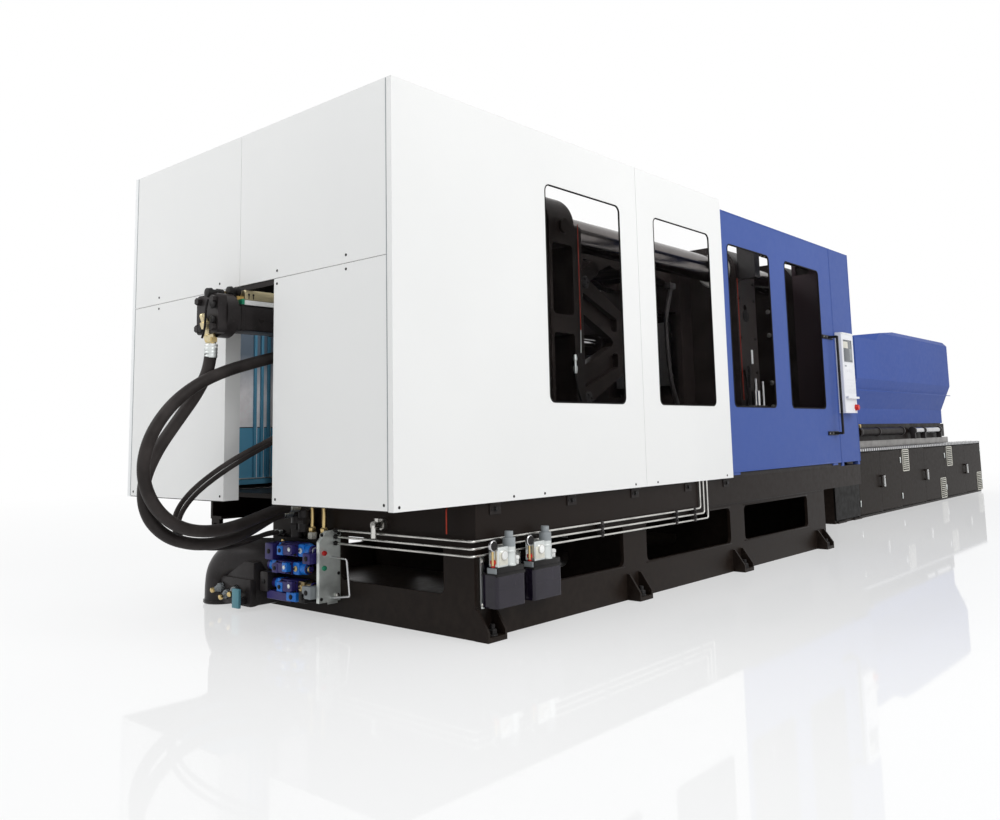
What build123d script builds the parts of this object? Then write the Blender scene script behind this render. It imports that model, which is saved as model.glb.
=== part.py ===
from build123d import *
import math
import os

os.makedirs("parts", exist_ok=True)

# Shop frame: X from the clamp end cover, Y from the middle plane, Z from the floor, in mm
X_FIRST = -189.0
X_LAST = 10560.0
FRAME_X = -(X_FIRST + X_LAST) / 2

# Guards
GUARD_Y = 1033.5
GUARD_T = 4.0
GUARD_Z0 = 551.0
GUARD_Z1 = 2251.0
COVER_X1 = 2717.0
COVER_SPLIT_X = 1757.0
WINDOW_COVER = ((964.0, 1591.0), (1923.0, 2550.0))
WINDOW_COVER_Z = (974.0, GUARD_Z1 - 247)
END_GAP_Y = (-260.0, 120.5)
END_JOINT_Z = 1535.0
END_SPLIT_Y = 10.5
RETURN_D = 80.0
GATE_Y = 1018.0
GATE_X = (2690.0, 4488.0)
GATE_Z = (578.0, 2197.0)
GATE_HEM = 30.0
WINDOW_GATE = ((2815.0, 3412.0), (3658.0, 4252.0))
WINDOW_GATE_Z = (973.0, GATE_Z[1] - 206)
FIXED_GUARD_X = (4490.0, 4872.0)
UPPER_RAIL = (950.0, GATE_Z[1] - 147, GATE_Z[1] - 107)
LOWER_RAIL = (1000.0, 551.0, 574.0)
PANE_T = 4.0
PANE_LAP = 20.0
SLIDE_GAP = 0.1

# Base
BASE_X = (474.0, 4880.0)
LOWER_X1 = 4161.0
BASE_Y = 1008.0
LOWER_Y = 996.0
WALL = 20.0
BEAM_Z = (399.0, 551.0)
HATCH_Z = (168.0, 372.0)
HATCHES = ((660.0, 1575.0), (1790.0, 2723.0), (2905.0, 3859.0))
FAR_WALL_X = 880.0
FOOT_X = (529.5, 1655.5, 2790.5, 4043.0)
FAR_FOOT_X0 = 943.0
FOOT_W = 117.0
FOOT_OUT = 74.0
ANCHOR_R = 13.0
RAIL_Y = (560.0, 690.0)
RAIL_TOP = 610.0

# Clamp
Z_C = 1390.0
PLATEN_Y = 700.0
PLATEN_Z = (610.0, 2150.0)
PLATEN_R = 190.0
RISE = PLATEN_Z[1] - Z_C
DROP = Z_C - PLATEN_Z[0]
BAR_R = 90.0
BAR_Y = PLATEN_Y - 160
BAR_DZ = RISE - 177
BAR_X = (1020.0, 4990.0)
RUN = 0.08
FIXED_X = (4550.0, 4865.0)
MOVING_X = (3560.0, 3860.0)
BOX_X0 = 3400.0
TAIL_X = (1420.0, 1646.0, 1710.0)
LINK = 545.0
PIN_DZ = BAR_DZ + 37
A_X = 2130.0
B_X = A_X + LINK
D_X = B_X + LINK
LOBE = (190.0, -150.0)
SAFETY_BAR = (-783.0, PLATEN_Z[1] - 50)
ARM_X = 2110.0
ARM_DZ = 350.0
EYE_R = 90.0
KNEE_R = 95.0
SMALL_EYE_R = 50.0
PIN_R = 45.0
SMALL_PIN_R = 25.0
PIN_RUN = 0.05
FRONT_LINK_Y = 180.0
PLATE_Y = (190.0, 275.0)
EAR_Y = (290.0, 355.0)
CHEEK_Y = (370.0, 430.0)
GUIDE_Y = 322.0
GUIDE_R = 26.0
ROD_R = 32.0
HUB_X = (2400.0, 2500.0)
CYL_X0 = -66.0
CYL_R = 62.0
CYL_BORE = 50.0
CYL_FLANGE_R = 101.0
SEAT_RUN = 0.05

# Injection side
INJ_BASE_X = (4880.0, 5650.0)
CAB_Y = 485.5
DOOR_Y = 501.5
DOOR_BACK = CAB_Y + 0.6
CAB_TOP = 624.0
DOOR_X = (6242.0, 6839.0, 7432.0, 8230.0, 8985.0, 9807.0, 10545.0)
INJ_RAIL_Y = (250.0, 310.0)
CARRIAGE_Z = 700.0
COVER_X = (6450.0, 9540.0)
BARREL_R = 70.0
SCREW_R = 39.93
BARREL_BORE = 40.0


def block(x0, x1, y0, y1, z0, z1):
    centre = Pos((x0 + x1) / 2, (y0 + y1) / 2, (z0 + z1) / 2)
    return centre * Box(abs(x1 - x0), abs(y1 - y0), abs(z1 - z0))


def rod_x(x0, x1, y, z, r):
    return Pos((x0 + x1) / 2, y, z) * Rot(0, 90, 0) * Cylinder(r, abs(x1 - x0))


def rod_y(y0, y1, x, z, r):
    return Pos(x, (y0 + y1) / 2, z) * Rot(90, 0, 0) * Cylinder(r, abs(y1 - y0))


def rod_z(z0, z1, x, y, r):
    return Pos(x, y, (z0 + z1) / 2) * Cylinder(r, abs(z1 - z0))


def hex_x(x0, x1, y, z, across):
    face = Plane(origin=(x0, y, z), z_dir=(1, 0, 0)) * RegularPolygon(across / 2, 6, major_radius=False)
    return extrude(face, amount=x1 - x0, dir=(1, 0, 0))


def hex_z(z0, z1, x, y, across):
    face = Pos(x, y, z0) * RegularPolygon(across / 2, 6, major_radius=False)
    return extrude(face, amount=z1 - z0)


def side_plate(points, y0, y1):
    face = make_face(Polyline([(x, y0, z) for x, z in points], close=True))
    return extrude(face, amount=y1 - y0, dir=(0, 1, 0))


def end_plate(points, x0, x1):
    face = make_face(Polyline([(x0, y, z) for y, z in points], close=True))
    return extrude(face, amount=x1 - x0, dir=(1, 0, 0))


def soft_block(x0, x1, y0, y1, z0, z1, r, axis):
    body = block(x0, x1, y0, y1, z0, z1)
    return fillet(body.edges().filter_by(axis), r)


def join(pieces):
    whole = pieces[0]
    for piece in pieces[1:]:
        whole = whole + piece
    return whole


def far_side(piece):
    return mirror(piece, about=Plane.XZ)


def below(piece):
    return mirror(piece, about=Plane.XY.offset(Z_C))


def both_sides(pieces):
    return [piece for part in pieces for piece in (part, far_side(part))]


def save(name, pieces):
    solids = []
    for piece in pieces:
        solids.extend(piece.solids())
    if len(solids) == 1:
        shape = solids[0]
    else:
        shape = Compound(children=solids)
    export_step(shape.moved(Location((FRAME_X, 0, 0))), "parts/" + name + ".step")


# Welded base under the clamp
def base_side(x_start, feet):
    beam = block(BASE_X[0], BASE_X[1], -BASE_Y, -BASE_Y + WALL, BEAM_Z[0], BEAM_Z[1])
    beam += block(BASE_X[0], BASE_X[1], -BASE_Y, -900, BEAM_Z[0], BEAM_Z[0] + 16)
    wall = block(x_start, LOWER_X1, -LOWER_Y, -LOWER_Y + WALL, 0, BEAM_Z[0])
    for x0, x1 in HATCHES:
        start = max(x0, x_start + 60)
        wall -= soft_block(start, x1, -LOWER_Y - 5, -LOWER_Y + WALL + 5, HATCH_Z[0], HATCH_Z[1], 30, Axis.Y)
    pieces = [beam + wall]
    for x in feet:
        half = FOOT_W / 2
        pad = block(x - half, x + half, -LOWER_Y - FOOT_OUT, -LOWER_Y, 0, 20)
        pad -= rod_z(-1, 21, x, -LOWER_Y - 44, ANCHOR_R)
        web = [(-LOWER_Y, 20), (-LOWER_Y - FOOT_OUT, 20), (-LOWER_Y - FOOT_OUT, 42)]
        web += [(-LOWER_Y - 14, 126), (-LOWER_Y, 126)]
        pad += end_plate(web, x - half, x - half + 12)
        pad += end_plate(web, x + half - 12, x + half)
        pieces.append(pad)
    return join(pieces)


def build_clamp_base():
    near = base_side(BASE_X[0], FOOT_X)
    far = far_side(base_side(FAR_WALL_X, (FAR_FOOT_X0,) + FOOT_X[1:]))
    top = block(BASE_X[0], BASE_X[1], -BASE_Y, BASE_Y, 526, BEAM_Z[1])
    top -= block(620, 4500, -530, 530, 520, 560)
    inner = LOWER_Y - WALL
    floor = block(BASE_X[0], LOWER_X1, -inner, inner, 0, 20)
    pieces = [near, far, top, floor]
    for x in (1640, 2765):
        rib = block(x, x + WALL, -inner, inner, 20, 526)
        rib -= soft_block(x - 5, x + WALL + 5, -600, 600, 120, 420, 60, Axis.X)
        pieces.append(rib)
    pieces.append(block(LOWER_X1 - WALL, LOWER_X1, -inner, inner, 20, 526))
    end = block(BASE_X[0], BASE_X[0] + WALL, -LOWER_Y, 345, 0, 526)
    end -= soft_block(BASE_X[0] - 5, BASE_X[0] + WALL + 5, -819.5, -140, HATCH_Z[0], HATCH_Z[1], 30, Axis.X)
    pieces.append(end)
    pieces.append(block(BASE_X[0] + WALL, FAR_WALL_X, 325, 345, 20, 526))
    pieces.append(block(FAR_WALL_X, FAR_WALL_X + WALL, 325, inner, 20, 526))
    stand = block(4560, 4860, -700, 700, 0, 526) - block(4585, 4835, -675, 675, 20, 540)
    pieces.append(stand)
    lug = end_plate([(930, 400), (1008, 400), (1008, 350), (985, 322), (955, 322), (930, 350)], 480, 505)
    pieces.append(lug - rod_x(475, 510, 969, 358, 20))
    return join(pieces)


def build_slide_rails():
    clamp = block(1080, 4540, -RAIL_Y[1], -RAIL_Y[0], BEAM_Z[1], RAIL_TOP)
    inject = block(5000, 9900, -INJ_RAIL_Y[1], -INJ_RAIL_Y[0], CAB_TOP, CARRIAGE_Z)
    return both_sides([clamp, inject])


# Sheet guards
def windowed(sheet, windows, heights, y):
    for x0, x1 in windows:
        sheet -= soft_block(x0, x1, y - 8, y + 8, heights[0], heights[1], 34, Axis.Y)
    return sheet


def cover_sheet(windows):
    y0 = -GUARD_Y
    y1 = y0 + GUARD_T
    split = COVER_SPLIT_X
    first = block(0, split - 1, y0, y1, GUARD_Z0, GUARD_Z1)
    first += block(0, GUARD_T, y0, y0 + 30, GUARD_Z0, GUARD_Z1)
    second = block(split + 1, COVER_X1, y0, y1, GUARD_Z0, GUARD_Z1)
    panels = []
    for sheet, x0, x1 in ((first, 0, split - 1), (second, split + 1, COVER_X1)):
        sheet += block(x0, x1, y0, y0 + 30, GUARD_Z1 - GUARD_T, GUARD_Z1)
        panels.append(windowed(sheet, windows, WINDOW_COVER_Z, y0) if windows else sheet)
    return panels


def build_end_panels():
    t = GUARD_T
    inner = GUARD_Y - t
    lip = GUARD_Y - 31.5
    gap0, gap1 = END_GAP_Y
    low_near = block(0, t, -lip, gap0, GUARD_Z0 + 4, END_JOINT_Z - 1)
    low_near += block(0, RETURN_D, gap0 - t, gap0, GUARD_Z0 + 4, END_JOINT_Z - 30)
    low_far = block(0, t, gap1, lip, GUARD_Z0 + 4, END_JOINT_Z - 1)
    low_far += block(0, RETURN_D, gap1, gap1 + t, GUARD_Z0 + 4, END_JOINT_Z - 30)
    up_near = block(0, t, -lip, END_SPLIT_Y - 1, END_JOINT_Z + 1, GUARD_Z1)
    up_far = block(0, t, END_SPLIT_Y + 1, lip, END_JOINT_Z + 1, GUARD_Z1)
    return [low_near, low_far, up_near, up_far]


def butted(pieces):
    bars = [pieces[0]]
    for piece in pieces[1:]:
        for bar in bars:
            if overlap_of_boxes(piece.bounding_box(), bar.bounding_box()):
                piece = piece - bar
        bars.append(piece)
    return bars


def overlap_of_boxes(a, b):
    low = [max(p, q) for p, q in zip(a.min.to_tuple(), b.min.to_tuple())]
    high = [min(p, q) for p, q in zip(a.max.to_tuple(), b.max.to_tuple())]
    return all(top - bottom > 0.001 for bottom, top in zip(low, high))


def build_guard_frame():
    t = 5.0
    outer = GUARD_Y - GUARD_T
    near = []
    near.append(block(GUARD_T, 54, -outer, -outer + t, GUARD_Z0, GUARD_Z1 - GUARD_T))
    near.append(block(GUARD_T, GUARD_T + t, -outer, -outer + 50, GUARD_Z0, GUARD_Z1 - GUARD_T))
    z_top = GUARD_Z1 - 53
    near.append(block(GUARD_T, COVER_X1 - 4, -outer, -outer + t, z_top, GUARD_Z1 - GUARD_T))
    near.append(block(GUARD_T, COVER_X1 - 4, -outer, -outer + 34, 2242, GUARD_Z1 - GUARD_T))
    near.append(block(GUARD_T, COVER_X1 - 4, -outer, -outer + t, GUARD_Z0, 575))
    near.append(block(GUARD_T, COVER_X1 - 4, -outer, -1010, GUARD_Z0, GUARD_Z0 + t))
    near.append(block(COVER_SPLIT_X - 25, COVER_SPLIT_X + 25, -outer, -outer + t, 575, z_top))
    near.append(block(COVER_X1 - 54, COVER_X1 - 4, -outer, -outer + t, 575, z_top))
    for x in (560, 1100, 1640, 2180, 2630):
        near.append(block(x, x + 70, -1029.5, -BASE_Y, 545, GUARD_Z0))
        near.append(block(x, x + 70, -BASE_Y - t, -BASE_Y, 500, 545))
    for x in (830, 2850, 4816):
        rail_z = UPPER_RAIL[1]
        near.append(block(x, x + 60, -935, -870, GUARD_Z0, 557))
        near.append(block(x, x + 50, -930, -925, GUARD_Z0, rail_z + 70))
        near.append(block(x, x + t, -930, -880, GUARD_Z0, rail_z + 70))
        near.append(block(x, x + 50, -940, -925, rail_z - 10, rail_z + 30))
    ends = []
    span = outer - 50
    ends.append(block(GUARD_T, GUARD_T + t, -span, span, z_top, GUARD_Z1 - GUARD_T))
    ends.append(block(GUARD_T, 54, -span - 50, span + 50, 2242, GUARD_Z1 - GUARD_T))
    ends.append(block(GUARD_T, GUARD_T + t, -span, span, END_JOINT_Z - 24, END_JOINT_Z + 26))
    ends.append(block(GUARD_T, 54, -span, span, END_JOINT_Z + 21, END_JOINT_Z + 26))
    ends.append(block(GUARD_T, GUARD_T + t, -span, END_GAP_Y[0] - 4, GUARD_Z0, 601))
    ends.append(block(GUARD_T, GUARD_T + t, END_GAP_Y[1] + 4, span, GUARD_Z0, 601))
    ends.append(block(GUARD_T, GUARD_T + t, END_SPLIT_Y - 25, END_SPLIT_Y + 25, END_JOINT_Z + 26, z_top))
    for y in (-760, END_GAP_Y[0] - 44, 180, 640):
        ends.append(block(GUARD_T, GUARD_T + t, y, y + 40, 601, END_JOINT_Z - 24))
    return butted(near + [far_side(piece) for piece in near] + ends)


def panes(windows, heights, y0, t):
    x_pairs = [(x0 - PANE_LAP, x1 + PANE_LAP) for x0, x1 in windows]
    z0 = heights[0] - PANE_LAP
    z1 = heights[1] + PANE_LAP
    return [block(x0, x1, y0, y0 + t, z0, z1) for x0, x1 in x_pairs]


def build_gate_rails():
    y, z0, z1 = UPPER_RAIL
    upper = block(830, FIXED_GUARD_X[1] - GUARD_T, -y - 10, -y + 10, z0, z1)
    y, z0, z1 = LOWER_RAIL
    lower = block(1150, FIXED_GUARD_X[0] + 5, -y - 6, -y + 6, z0, z1)
    return both_sides([upper, lower])


def gate(windows):
    x0, x1 = GATE_X
    z0, z1 = GATE_Z
    y0 = -GATE_Y
    skin = block(x0, x1, y0, y0 + GUARD_T, z0, z1)
    if windows:
        skin = windowed(skin, windows, WINDOW_GATE_Z, y0)
    pieces = [skin]
    y_hem = y0 + GATE_HEM
    pieces.append(block(x0, x0 + GUARD_T, y0, y_hem, z0, z1))
    pieces.append(block(x1 - GUARD_T, x1, y0, y_hem, z0, z1))
    pieces.append(block(x0, x1, y0, y_hem, z0, z0 + GUARD_T))
    pieces.append(block(x0, x1, y0, y_hem, z1 - GUARD_T, z1))
    pieces.append(block(3495, 3575, y0, y0 + 22, z0, z1))
    rail_y, rail_z0, rail_z1 = UPPER_RAIL
    for x in (2860, 4250):
        arm = block(x, x + 110, y0, -rail_y + 16, rail_z1, rail_z1 + 14)
        arm += block(x, x + 110, -rail_y + 10 + SLIDE_GAP, -rail_y + 16, rail_z0 + 34, rail_z1)
        pieces.append(arm)
    rail_y, rail_z0, rail_z1 = LOWER_RAIL
    for x in (2760, 4330):
        pieces.append(block(x, x + 90, y0 + 4, -rail_y - 6 - SLIDE_GAP, rail_z1 - 12, z0 + 20))
        pieces.append(block(x, x + 90, -rail_y + 6 + SLIDE_GAP, -rail_y + 14, rail_z1 - 12, z0 + 20))
        pieces.append(block(x, x + 90, y0 + 4, -rail_y + 14, z0, z0 + 20))
    return join(pieces)


def handle():
    face = -GATE_Y
    out = -GUARD_Y - 52
    bar = rod_z(790, 1510, 4370, out, 9)
    for z in (795, 1505):
        bar += block(4256, 4450, face - 6, face, z - 14, z + 14)
        bar += block(4361, 4379, out, face - 6, z - 9, z + 9)
    return bar


def build_fixed_guards():
    x0, x1 = FIXED_GUARD_X
    z0, z1 = GATE_Z
    y0 = -GATE_Y
    panel = block(x0, x1, y0, y0 + GUARD_T, z0, z1)
    panel += block(x0, x0 + GUARD_T, y0, y0 + GATE_HEM, z0, z1)
    panel += block(x1 - GUARD_T, x1, y0, y0 + 90, z0, z1)
    panel += block(x0, x1, y0, y0 + GATE_HEM, z1 - GUARD_T, z1)
    for x in (x0 + 10, x1 - 44):
        panel += block(x, x + 40, y0 + GUARD_T, y0 + 44, BEAM_Z[1], z1 - 10)
    return both_sides([panel])


def build_control_panel():
    x0, x1 = 4494.0, 4727.0
    y0 = -GUARD_Y - 40
    box = soft_block(x0, x1, y0, -GATE_Y, 943, 1550, 8, Axis.Z)
    box -= block(4509, 4690, y0 - 1, y0 + 4, 1325, 1497)
    box += block(x0 + 6, x1 - 6, y0 - 22, y0, 1050, 1066)
    for x in (4530, 4566, 4602, 4638):
        box += block(x, x + 24, y0 - 3, y0, 1250, 1274)
    box -= rod_y(y0 - 2, y0 + 24, 4690, 985, 10.06)
    return [box]


def build_stop_button():
    y0 = -GUARD_Y - 40
    cap = rod_y(y0 - 26, y0 - 10, 4690, 985, 21)
    cap = chamfer(cap.edges().group_by(Axis.Y)[0], 4)
    return [cap + rod_y(y0 - 10, y0 + 14, 4690, 985, 10)]


# Clamp platens, bars and drive
def platen(x0, x1, z0, z1, r):
    return soft_block(x0, x1, -PLATEN_Y, PLATEN_Y, z0, z1, r, Axis.X)


def bar_holes(body, x0, x1, r):
    for y in (-BAR_Y, BAR_Y):
        for dz in (-BAR_DZ, BAR_DZ):
            body -= rod_x(x0, x1, y, Z_C + dz, r)
    return body


def bolt_holes(body, face_x, depth, half_y, half_z, r):
    for y in (-half_y, half_y):
        for z in (Z_C - half_z, Z_C + half_z):
            body -= rod_x(face_x - depth, face_x + depth, y, z, r)
    return body


def build_fixed_platen():
    x0, x1 = FIXED_X
    body = platen(x0, x1, PLATEN_Z[0], PLATEN_Z[1], PLATEN_R)
    for y0, y1 in ((-RAIL_Y[1], -RAIL_Y[0]), RAIL_Y):
        body += block(x0 + 10, x1 - 20, y0, y1, BEAM_Z[1], PLATEN_Z[0] + 90)
    body += block(x0 + 10, x0 + 90, -PLATEN_Y - 130, -PLATEN_Y + 10, PLATEN_Z[1] - 250, PLATEN_Z[1])
    body -= rod_x(x0, x0 + 100, SAFETY_BAR[0], SAFETY_BAR[1], 20.3)
    body -= rod_x(x0 - 1, x0 + 40, 0, Z_C, 80)
    body -= Pos((x0 + 30 + x1) / 2, 0, Z_C) * Rot(0, 90, 0) * Cone(60, 190, x1 - x0 - 30)
    body -= rod_x(x1 - 10, x1 + 10, 0, Z_C, 200)
    body = bar_holes(body, x0 - 5, x1 + 5, BAR_R + PIN_RUN)
    body = bolt_holes(body, x0, 48, 350, 350, 12)
    return [bolt_holes(body, x0, 48, 210, 350, 12)]


def build_tie_bars():
    pieces = []
    for y in (-BAR_Y, BAR_Y):
        for dz in (-BAR_DZ, BAR_DZ):
            bar = rod_x(BAR_X[0], BAR_X[1], y, Z_C + dz, BAR_R)
            bar = chamfer(bar.edges().filter_by(GeomType.CIRCLE), 5)
            pieces.append(bar + rod_x(FIXED_X[1], FIXED_X[1] + 90, y, Z_C + dz, 135))
    return pieces


def ear(x_root, x_pin, dz_root, y0, y1):
    step = EYE_R if x_pin > x_root else -EYE_R
    points = [(x_root, Z_C + dz_root[0]), (x_pin, Z_C + PIN_DZ - EYE_R)]
    points += [(x_pin, Z_C + PIN_DZ + EYE_R), (x_root, Z_C + dz_root[1])]
    plate = side_plate(points, y0, y1) + rod_y(y0, y1, x_pin, Z_C + PIN_DZ, EYE_R)
    return plate


def build_tailstock():
    x0, x1, x2 = TAIL_X
    body = platen(x0, x1, PLATEN_Z[0], PLATEN_Z[1], PLATEN_R)
    body += soft_block(x1 - 1, x2, -PLATEN_Y, PLATEN_Y, PLATEN_Z[0] + 190, PLATEN_Z[1] - 170, 30, Axis.X)
    body += rod_y(-PLATEN_Y - 16, -PLATEN_Y + 40, x0 + 127, PLATEN_Z[1] - 200, 40)
    for z0, z1 in ((Z_C + 0.0987 * RISE, Z_C + 0.605 * RISE), (Z_C - 0.564 * DROP, Z_C - 0.032 * DROP)):
        for side in (-1, 1):
            y0 = side * (PLATEN_Y - 170)
            y1 = side * (PLATEN_Y + 5)
            low, high = sorted((y0, y1))
            body -= soft_block(x0 + 24, x1 - 20, low, high, z0, z1, 24, Axis.Y)
    for side in (-1, 1):
        low, high = sorted((side * EAR_Y[0], side * EAR_Y[1]))
        arm = ear(x2 - 30, A_X, (PIN_DZ - 90, PIN_DZ + 120), low, high)
        arm -= rod_y(low - 1, high + 1, A_X, Z_C + PIN_DZ, PIN_R + PIN_RUN)
        body += arm
        body += below(arm)
    body = bar_holes(body, x0 - 5, x2 + 5, BAR_R + RUN)
    body -= rod_x(x0 - 5, x2 + 5, 0, Z_C, ROD_R + 3)
    return [body]


def build_adjust_nuts():
    pieces = []
    for y in (-BAR_Y, BAR_Y):
        for dz in (-BAR_DZ, BAR_DZ):
            z = Z_C + dz
            nut = rod_x(TAIL_X[0] - 90, TAIL_X[0], y, z, 145)
            nut += hex_x(TAIL_X[0] - 150, TAIL_X[0] - 90, y, z, 230)
            pieces.append(nut - rod_x(TAIL_X[0] - 160, TAIL_X[0] + 10, y, z, BAR_R + RUN))
    return pieces


def build_clamp_cylinder():
    x1 = TAIL_X[0]
    body = rod_x(CYL_X0 - 104, x1, 0, Z_C, CYL_R) + rod_x(CYL_X0 - 60, CYL_X0, 0, Z_C, CYL_FLANGE_R)
    body += soft_block(CYL_X0 - 104, CYL_X0 - 60, -88, 88, Z_C - 88, Z_C + 88, 20, Axis.X)
    body += rod_x(x1 - 40, x1, 0, Z_C, 115)
    body -= rod_x(CYL_X0 - 20, x1 - 80, 0, Z_C, CYL_BORE)
    body -= rod_x(x1 - 81, x1 + 1, 0, Z_C, ROD_R + PIN_RUN)
    for y in (-62, 62):
        for dz in (-62, 62):
            body += hex_x(CYL_X0 - 123, CYL_X0 - 104, y, Z_C + dz, 30)
    for i in range(6):
        a = math.radians(30 + 60 * i)
        body += hex_x(x1 - 56, x1 - 40, 92 * math.cos(a), Z_C + 92 * math.sin(a), 26)
    return [body]


def build_cylinder_ports():
    top = Z_C + CYL_R
    gold = rod_x(-120, 640, 12, Z_C + 104, 9) + block(-90, -50, -4, 28, Z_C + 88, Z_C + 113)
    gold += block(560, 600, -4, 28, top - 6, Z_C + 113)
    gold += block(-84, -60, -4, 28, Z_C + 80, Z_C + 113)
    white = block(-40, 520, -30, -6, Z_C + 50, Z_C + 92)
    stem = rod_z(Z_C - 132, Z_C - 88, PORT_1[0], PORT_1[1], 20)
    stem += hex_z(Z_C - 124, Z_C - 104, PORT_1[0], PORT_1[1], 50)
    drop = rod_z(PORT_2[2] - 34, Z_C - CYL_R + 8, PORT_2[0] + 34, PORT_2[1], 30)
    elbow = rod_x(PORT_2[0], PORT_2[0] + 34, PORT_2[1], PORT_2[2], 27)
    seat = rod_x(CYL_X0 - 104, TAIL_X[0], 0, Z_C, CYL_R + SEAT_RUN)
    seat += rod_x(CYL_X0 - 60, CYL_X0, 0, Z_C, CYL_FLANGE_R + SEAT_RUN)
    pieces = [piece - seat for piece in (gold, white, drop + elbow)] + [stem]
    for x, y, z in (PORT_3, PORT_4):
        pieces.append(rod_x(x, TAIL_X[0], y, z, 12) + hex_x(TAIL_X[0] - 34, TAIL_X[0] - 14, y, z, 30))
    return pieces


def build_guide_rods():
    pieces = []
    for y in (-GUIDE_Y, GUIDE_Y):
        rod = rod_x(TAIL_X[2], 2700, y, Z_C, GUIDE_R) + rod_x(TAIL_X[2], TAIL_X[2] + 24, y, Z_C, 46)
        pieces.append(rod)
    return pieces


def build_crosshead():
    upper = [(ARM_X - 60, 400), (ARM_X - 18, 400), (HUB_X[1] + 8, 192), (HUB_X[1] + 55, 110)]
    outline = [(x, Z_C + dz) for x, dz in upper] + [(x, Z_C - dz) for x, dz in reversed(upper)]
    left = ARM_X - 22
    tip = HUB_X[0] - 28
    open_v = [(left - 48, Z_C + 166), (left, Z_C + 152), (tip, Z_C + 26), (tip + 22, Z_C)]
    open_v += [(tip, Z_C - 26), (left, Z_C - 152), (left - 48, Z_C - 166)]
    deep = HUB_X[0] + 40
    pocket = [(ARM_X - 35, Z_C + 218), (ARM_X - 35, Z_C + 290), (deep, Z_C + 150), (deep, Z_C + 72)]
    pocket.append((deep - 35, Z_C + 66))
    pieces = []
    for side in (-1, 1):
        low, high = sorted((side * CHEEK_Y[0], side * CHEEK_Y[1]))
        cheek = side_plate(outline, low, high) - side_plate(open_v, low - 1, high + 1)
        face = sorted((side * (CHEEK_Y[1] - 40), side * (CHEEK_Y[1] + 1)))
        cut = side_plate(pocket, face[0], face[1])
        cheek -= cut
        cheek -= below(cut)
        pin = sorted((side * EAR_Y[0], side * CHEEK_Y[0]))
        for dz in (-ARM_DZ, ARM_DZ):
            cheek += rod_y(pin[0], pin[1], ARM_X, Z_C + dz, SMALL_PIN_R)
            cheek += rod_y(min(low, high), max(low, high), ARM_X, Z_C + dz, 44)
        pieces.append(cheek)
    hub = block(HUB_X[0], HUB_X[1], -CHEEK_Y[0], CHEEK_Y[0], Z_C - 66, Z_C + 66)
    hub += rod_x(HUB_X[0] - 40, HUB_X[1] + 40, -GUIDE_Y, Z_C, 46)
    hub += rod_x(HUB_X[0] - 40, HUB_X[1] + 40, GUIDE_Y, Z_C, 46)
    for y in (-GUIDE_Y, GUIDE_Y):
        hub -= rod_x(HUB_X[0] - 50, HUB_X[1] + 50, y, Z_C, GUIDE_R + PIN_RUN)
    pieces.append(hub)
    return [join(pieces)]


def build_piston_rod():
    rod = rod_x(1000, HUB_X[0], 0, Z_C, ROD_R) + rod_x(960, 1040, 0, Z_C, CYL_BORE - PIN_RUN)
    return [rod + rod_x(HUB_X[0] - 60, HUB_X[0], 0, Z_C, 48)]


def link_plate(a, b, ra, rb, y0, y1):
    dx = b[0] - a[0]
    dz = b[1] - a[1]
    length = math.hypot(dx, dz)
    nx = -dz / length
    nz = dx / length
    points = [(a[0] + nx * ra, a[1] + nz * ra), (b[0] + nx * rb, b[1] + nz * rb)]
    points += [(b[0] - nx * rb, b[1] - nz * rb), (a[0] - nx * ra, a[1] - nz * ra)]
    plate = side_plate(points, y0, y1)
    return plate + rod_y(y0, y1, a[0], a[1], ra) + rod_y(y0, y1, b[0], b[1], rb)


def build_rear_link():
    a = (A_X, Z_C + PIN_DZ)
    b = (B_X, Z_C + PIN_DZ)
    c = (A_X + LOBE[0], Z_C + PIN_DZ + LOBE[1])
    pieces = []
    for y0, y1 in (PLATE_Y, (-PLATE_Y[1], -PLATE_Y[0])):
        plate = link_plate(a, b, 74, 74, y0, y1) + link_plate(a, c, 60, SMALL_EYE_R, y0, y1)
        plate += link_plate(b, c, 50, SMALL_EYE_R, y0, y1)
        pieces.append(plate + rod_y(y0, y1, a[0], a[1], EYE_R) + rod_y(y0, y1, b[0], b[1], KNEE_R))
    pieces.append(rod_y(-EAR_Y[1], EAR_Y[1], a[0], a[1], PIN_R))
    pieces.append(rod_y(-PLATE_Y[1], PLATE_Y[1], b[0], b[1], PIN_R))
    return join(pieces)


def build_front_link():
    b = (B_X, Z_C + PIN_DZ)
    d = (D_X, Z_C + PIN_DZ)
    body = link_plate(b, d, 66, 66, -FRONT_LINK_Y, FRONT_LINK_Y)
    body += rod_y(-FRONT_LINK_Y, FRONT_LINK_Y, b[0], b[1], KNEE_R)
    body += rod_y(-FRONT_LINK_Y, FRONT_LINK_Y, d[0], d[1], EYE_R)
    body -= block(b[0] + 130, d[0] - 130, -FRONT_LINK_Y - 1, -110, b[1] - 40, b[1] + 40)
    body -= block(b[0] + 130, d[0] - 130, 110, FRONT_LINK_Y + 1, b[1] - 40, b[1] + 40)
    return body - rod_y(-FRONT_LINK_Y - 1, FRONT_LINK_Y + 1, b[0], b[1], PIN_R + PIN_RUN)


def build_small_link():
    e = (ARM_X, Z_C + ARM_DZ)
    c = (A_X + LOBE[0], Z_C + PIN_DZ + LOBE[1])
    near = link_plate(e, c, SMALL_EYE_R, SMALL_EYE_R, -EAR_Y[1], -EAR_Y[0])
    near -= rod_y(-EAR_Y[1] - 1, -EAR_Y[0] + 1, e[0], e[1], SMALL_PIN_R + PIN_RUN)
    return both_sides([near])


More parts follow.
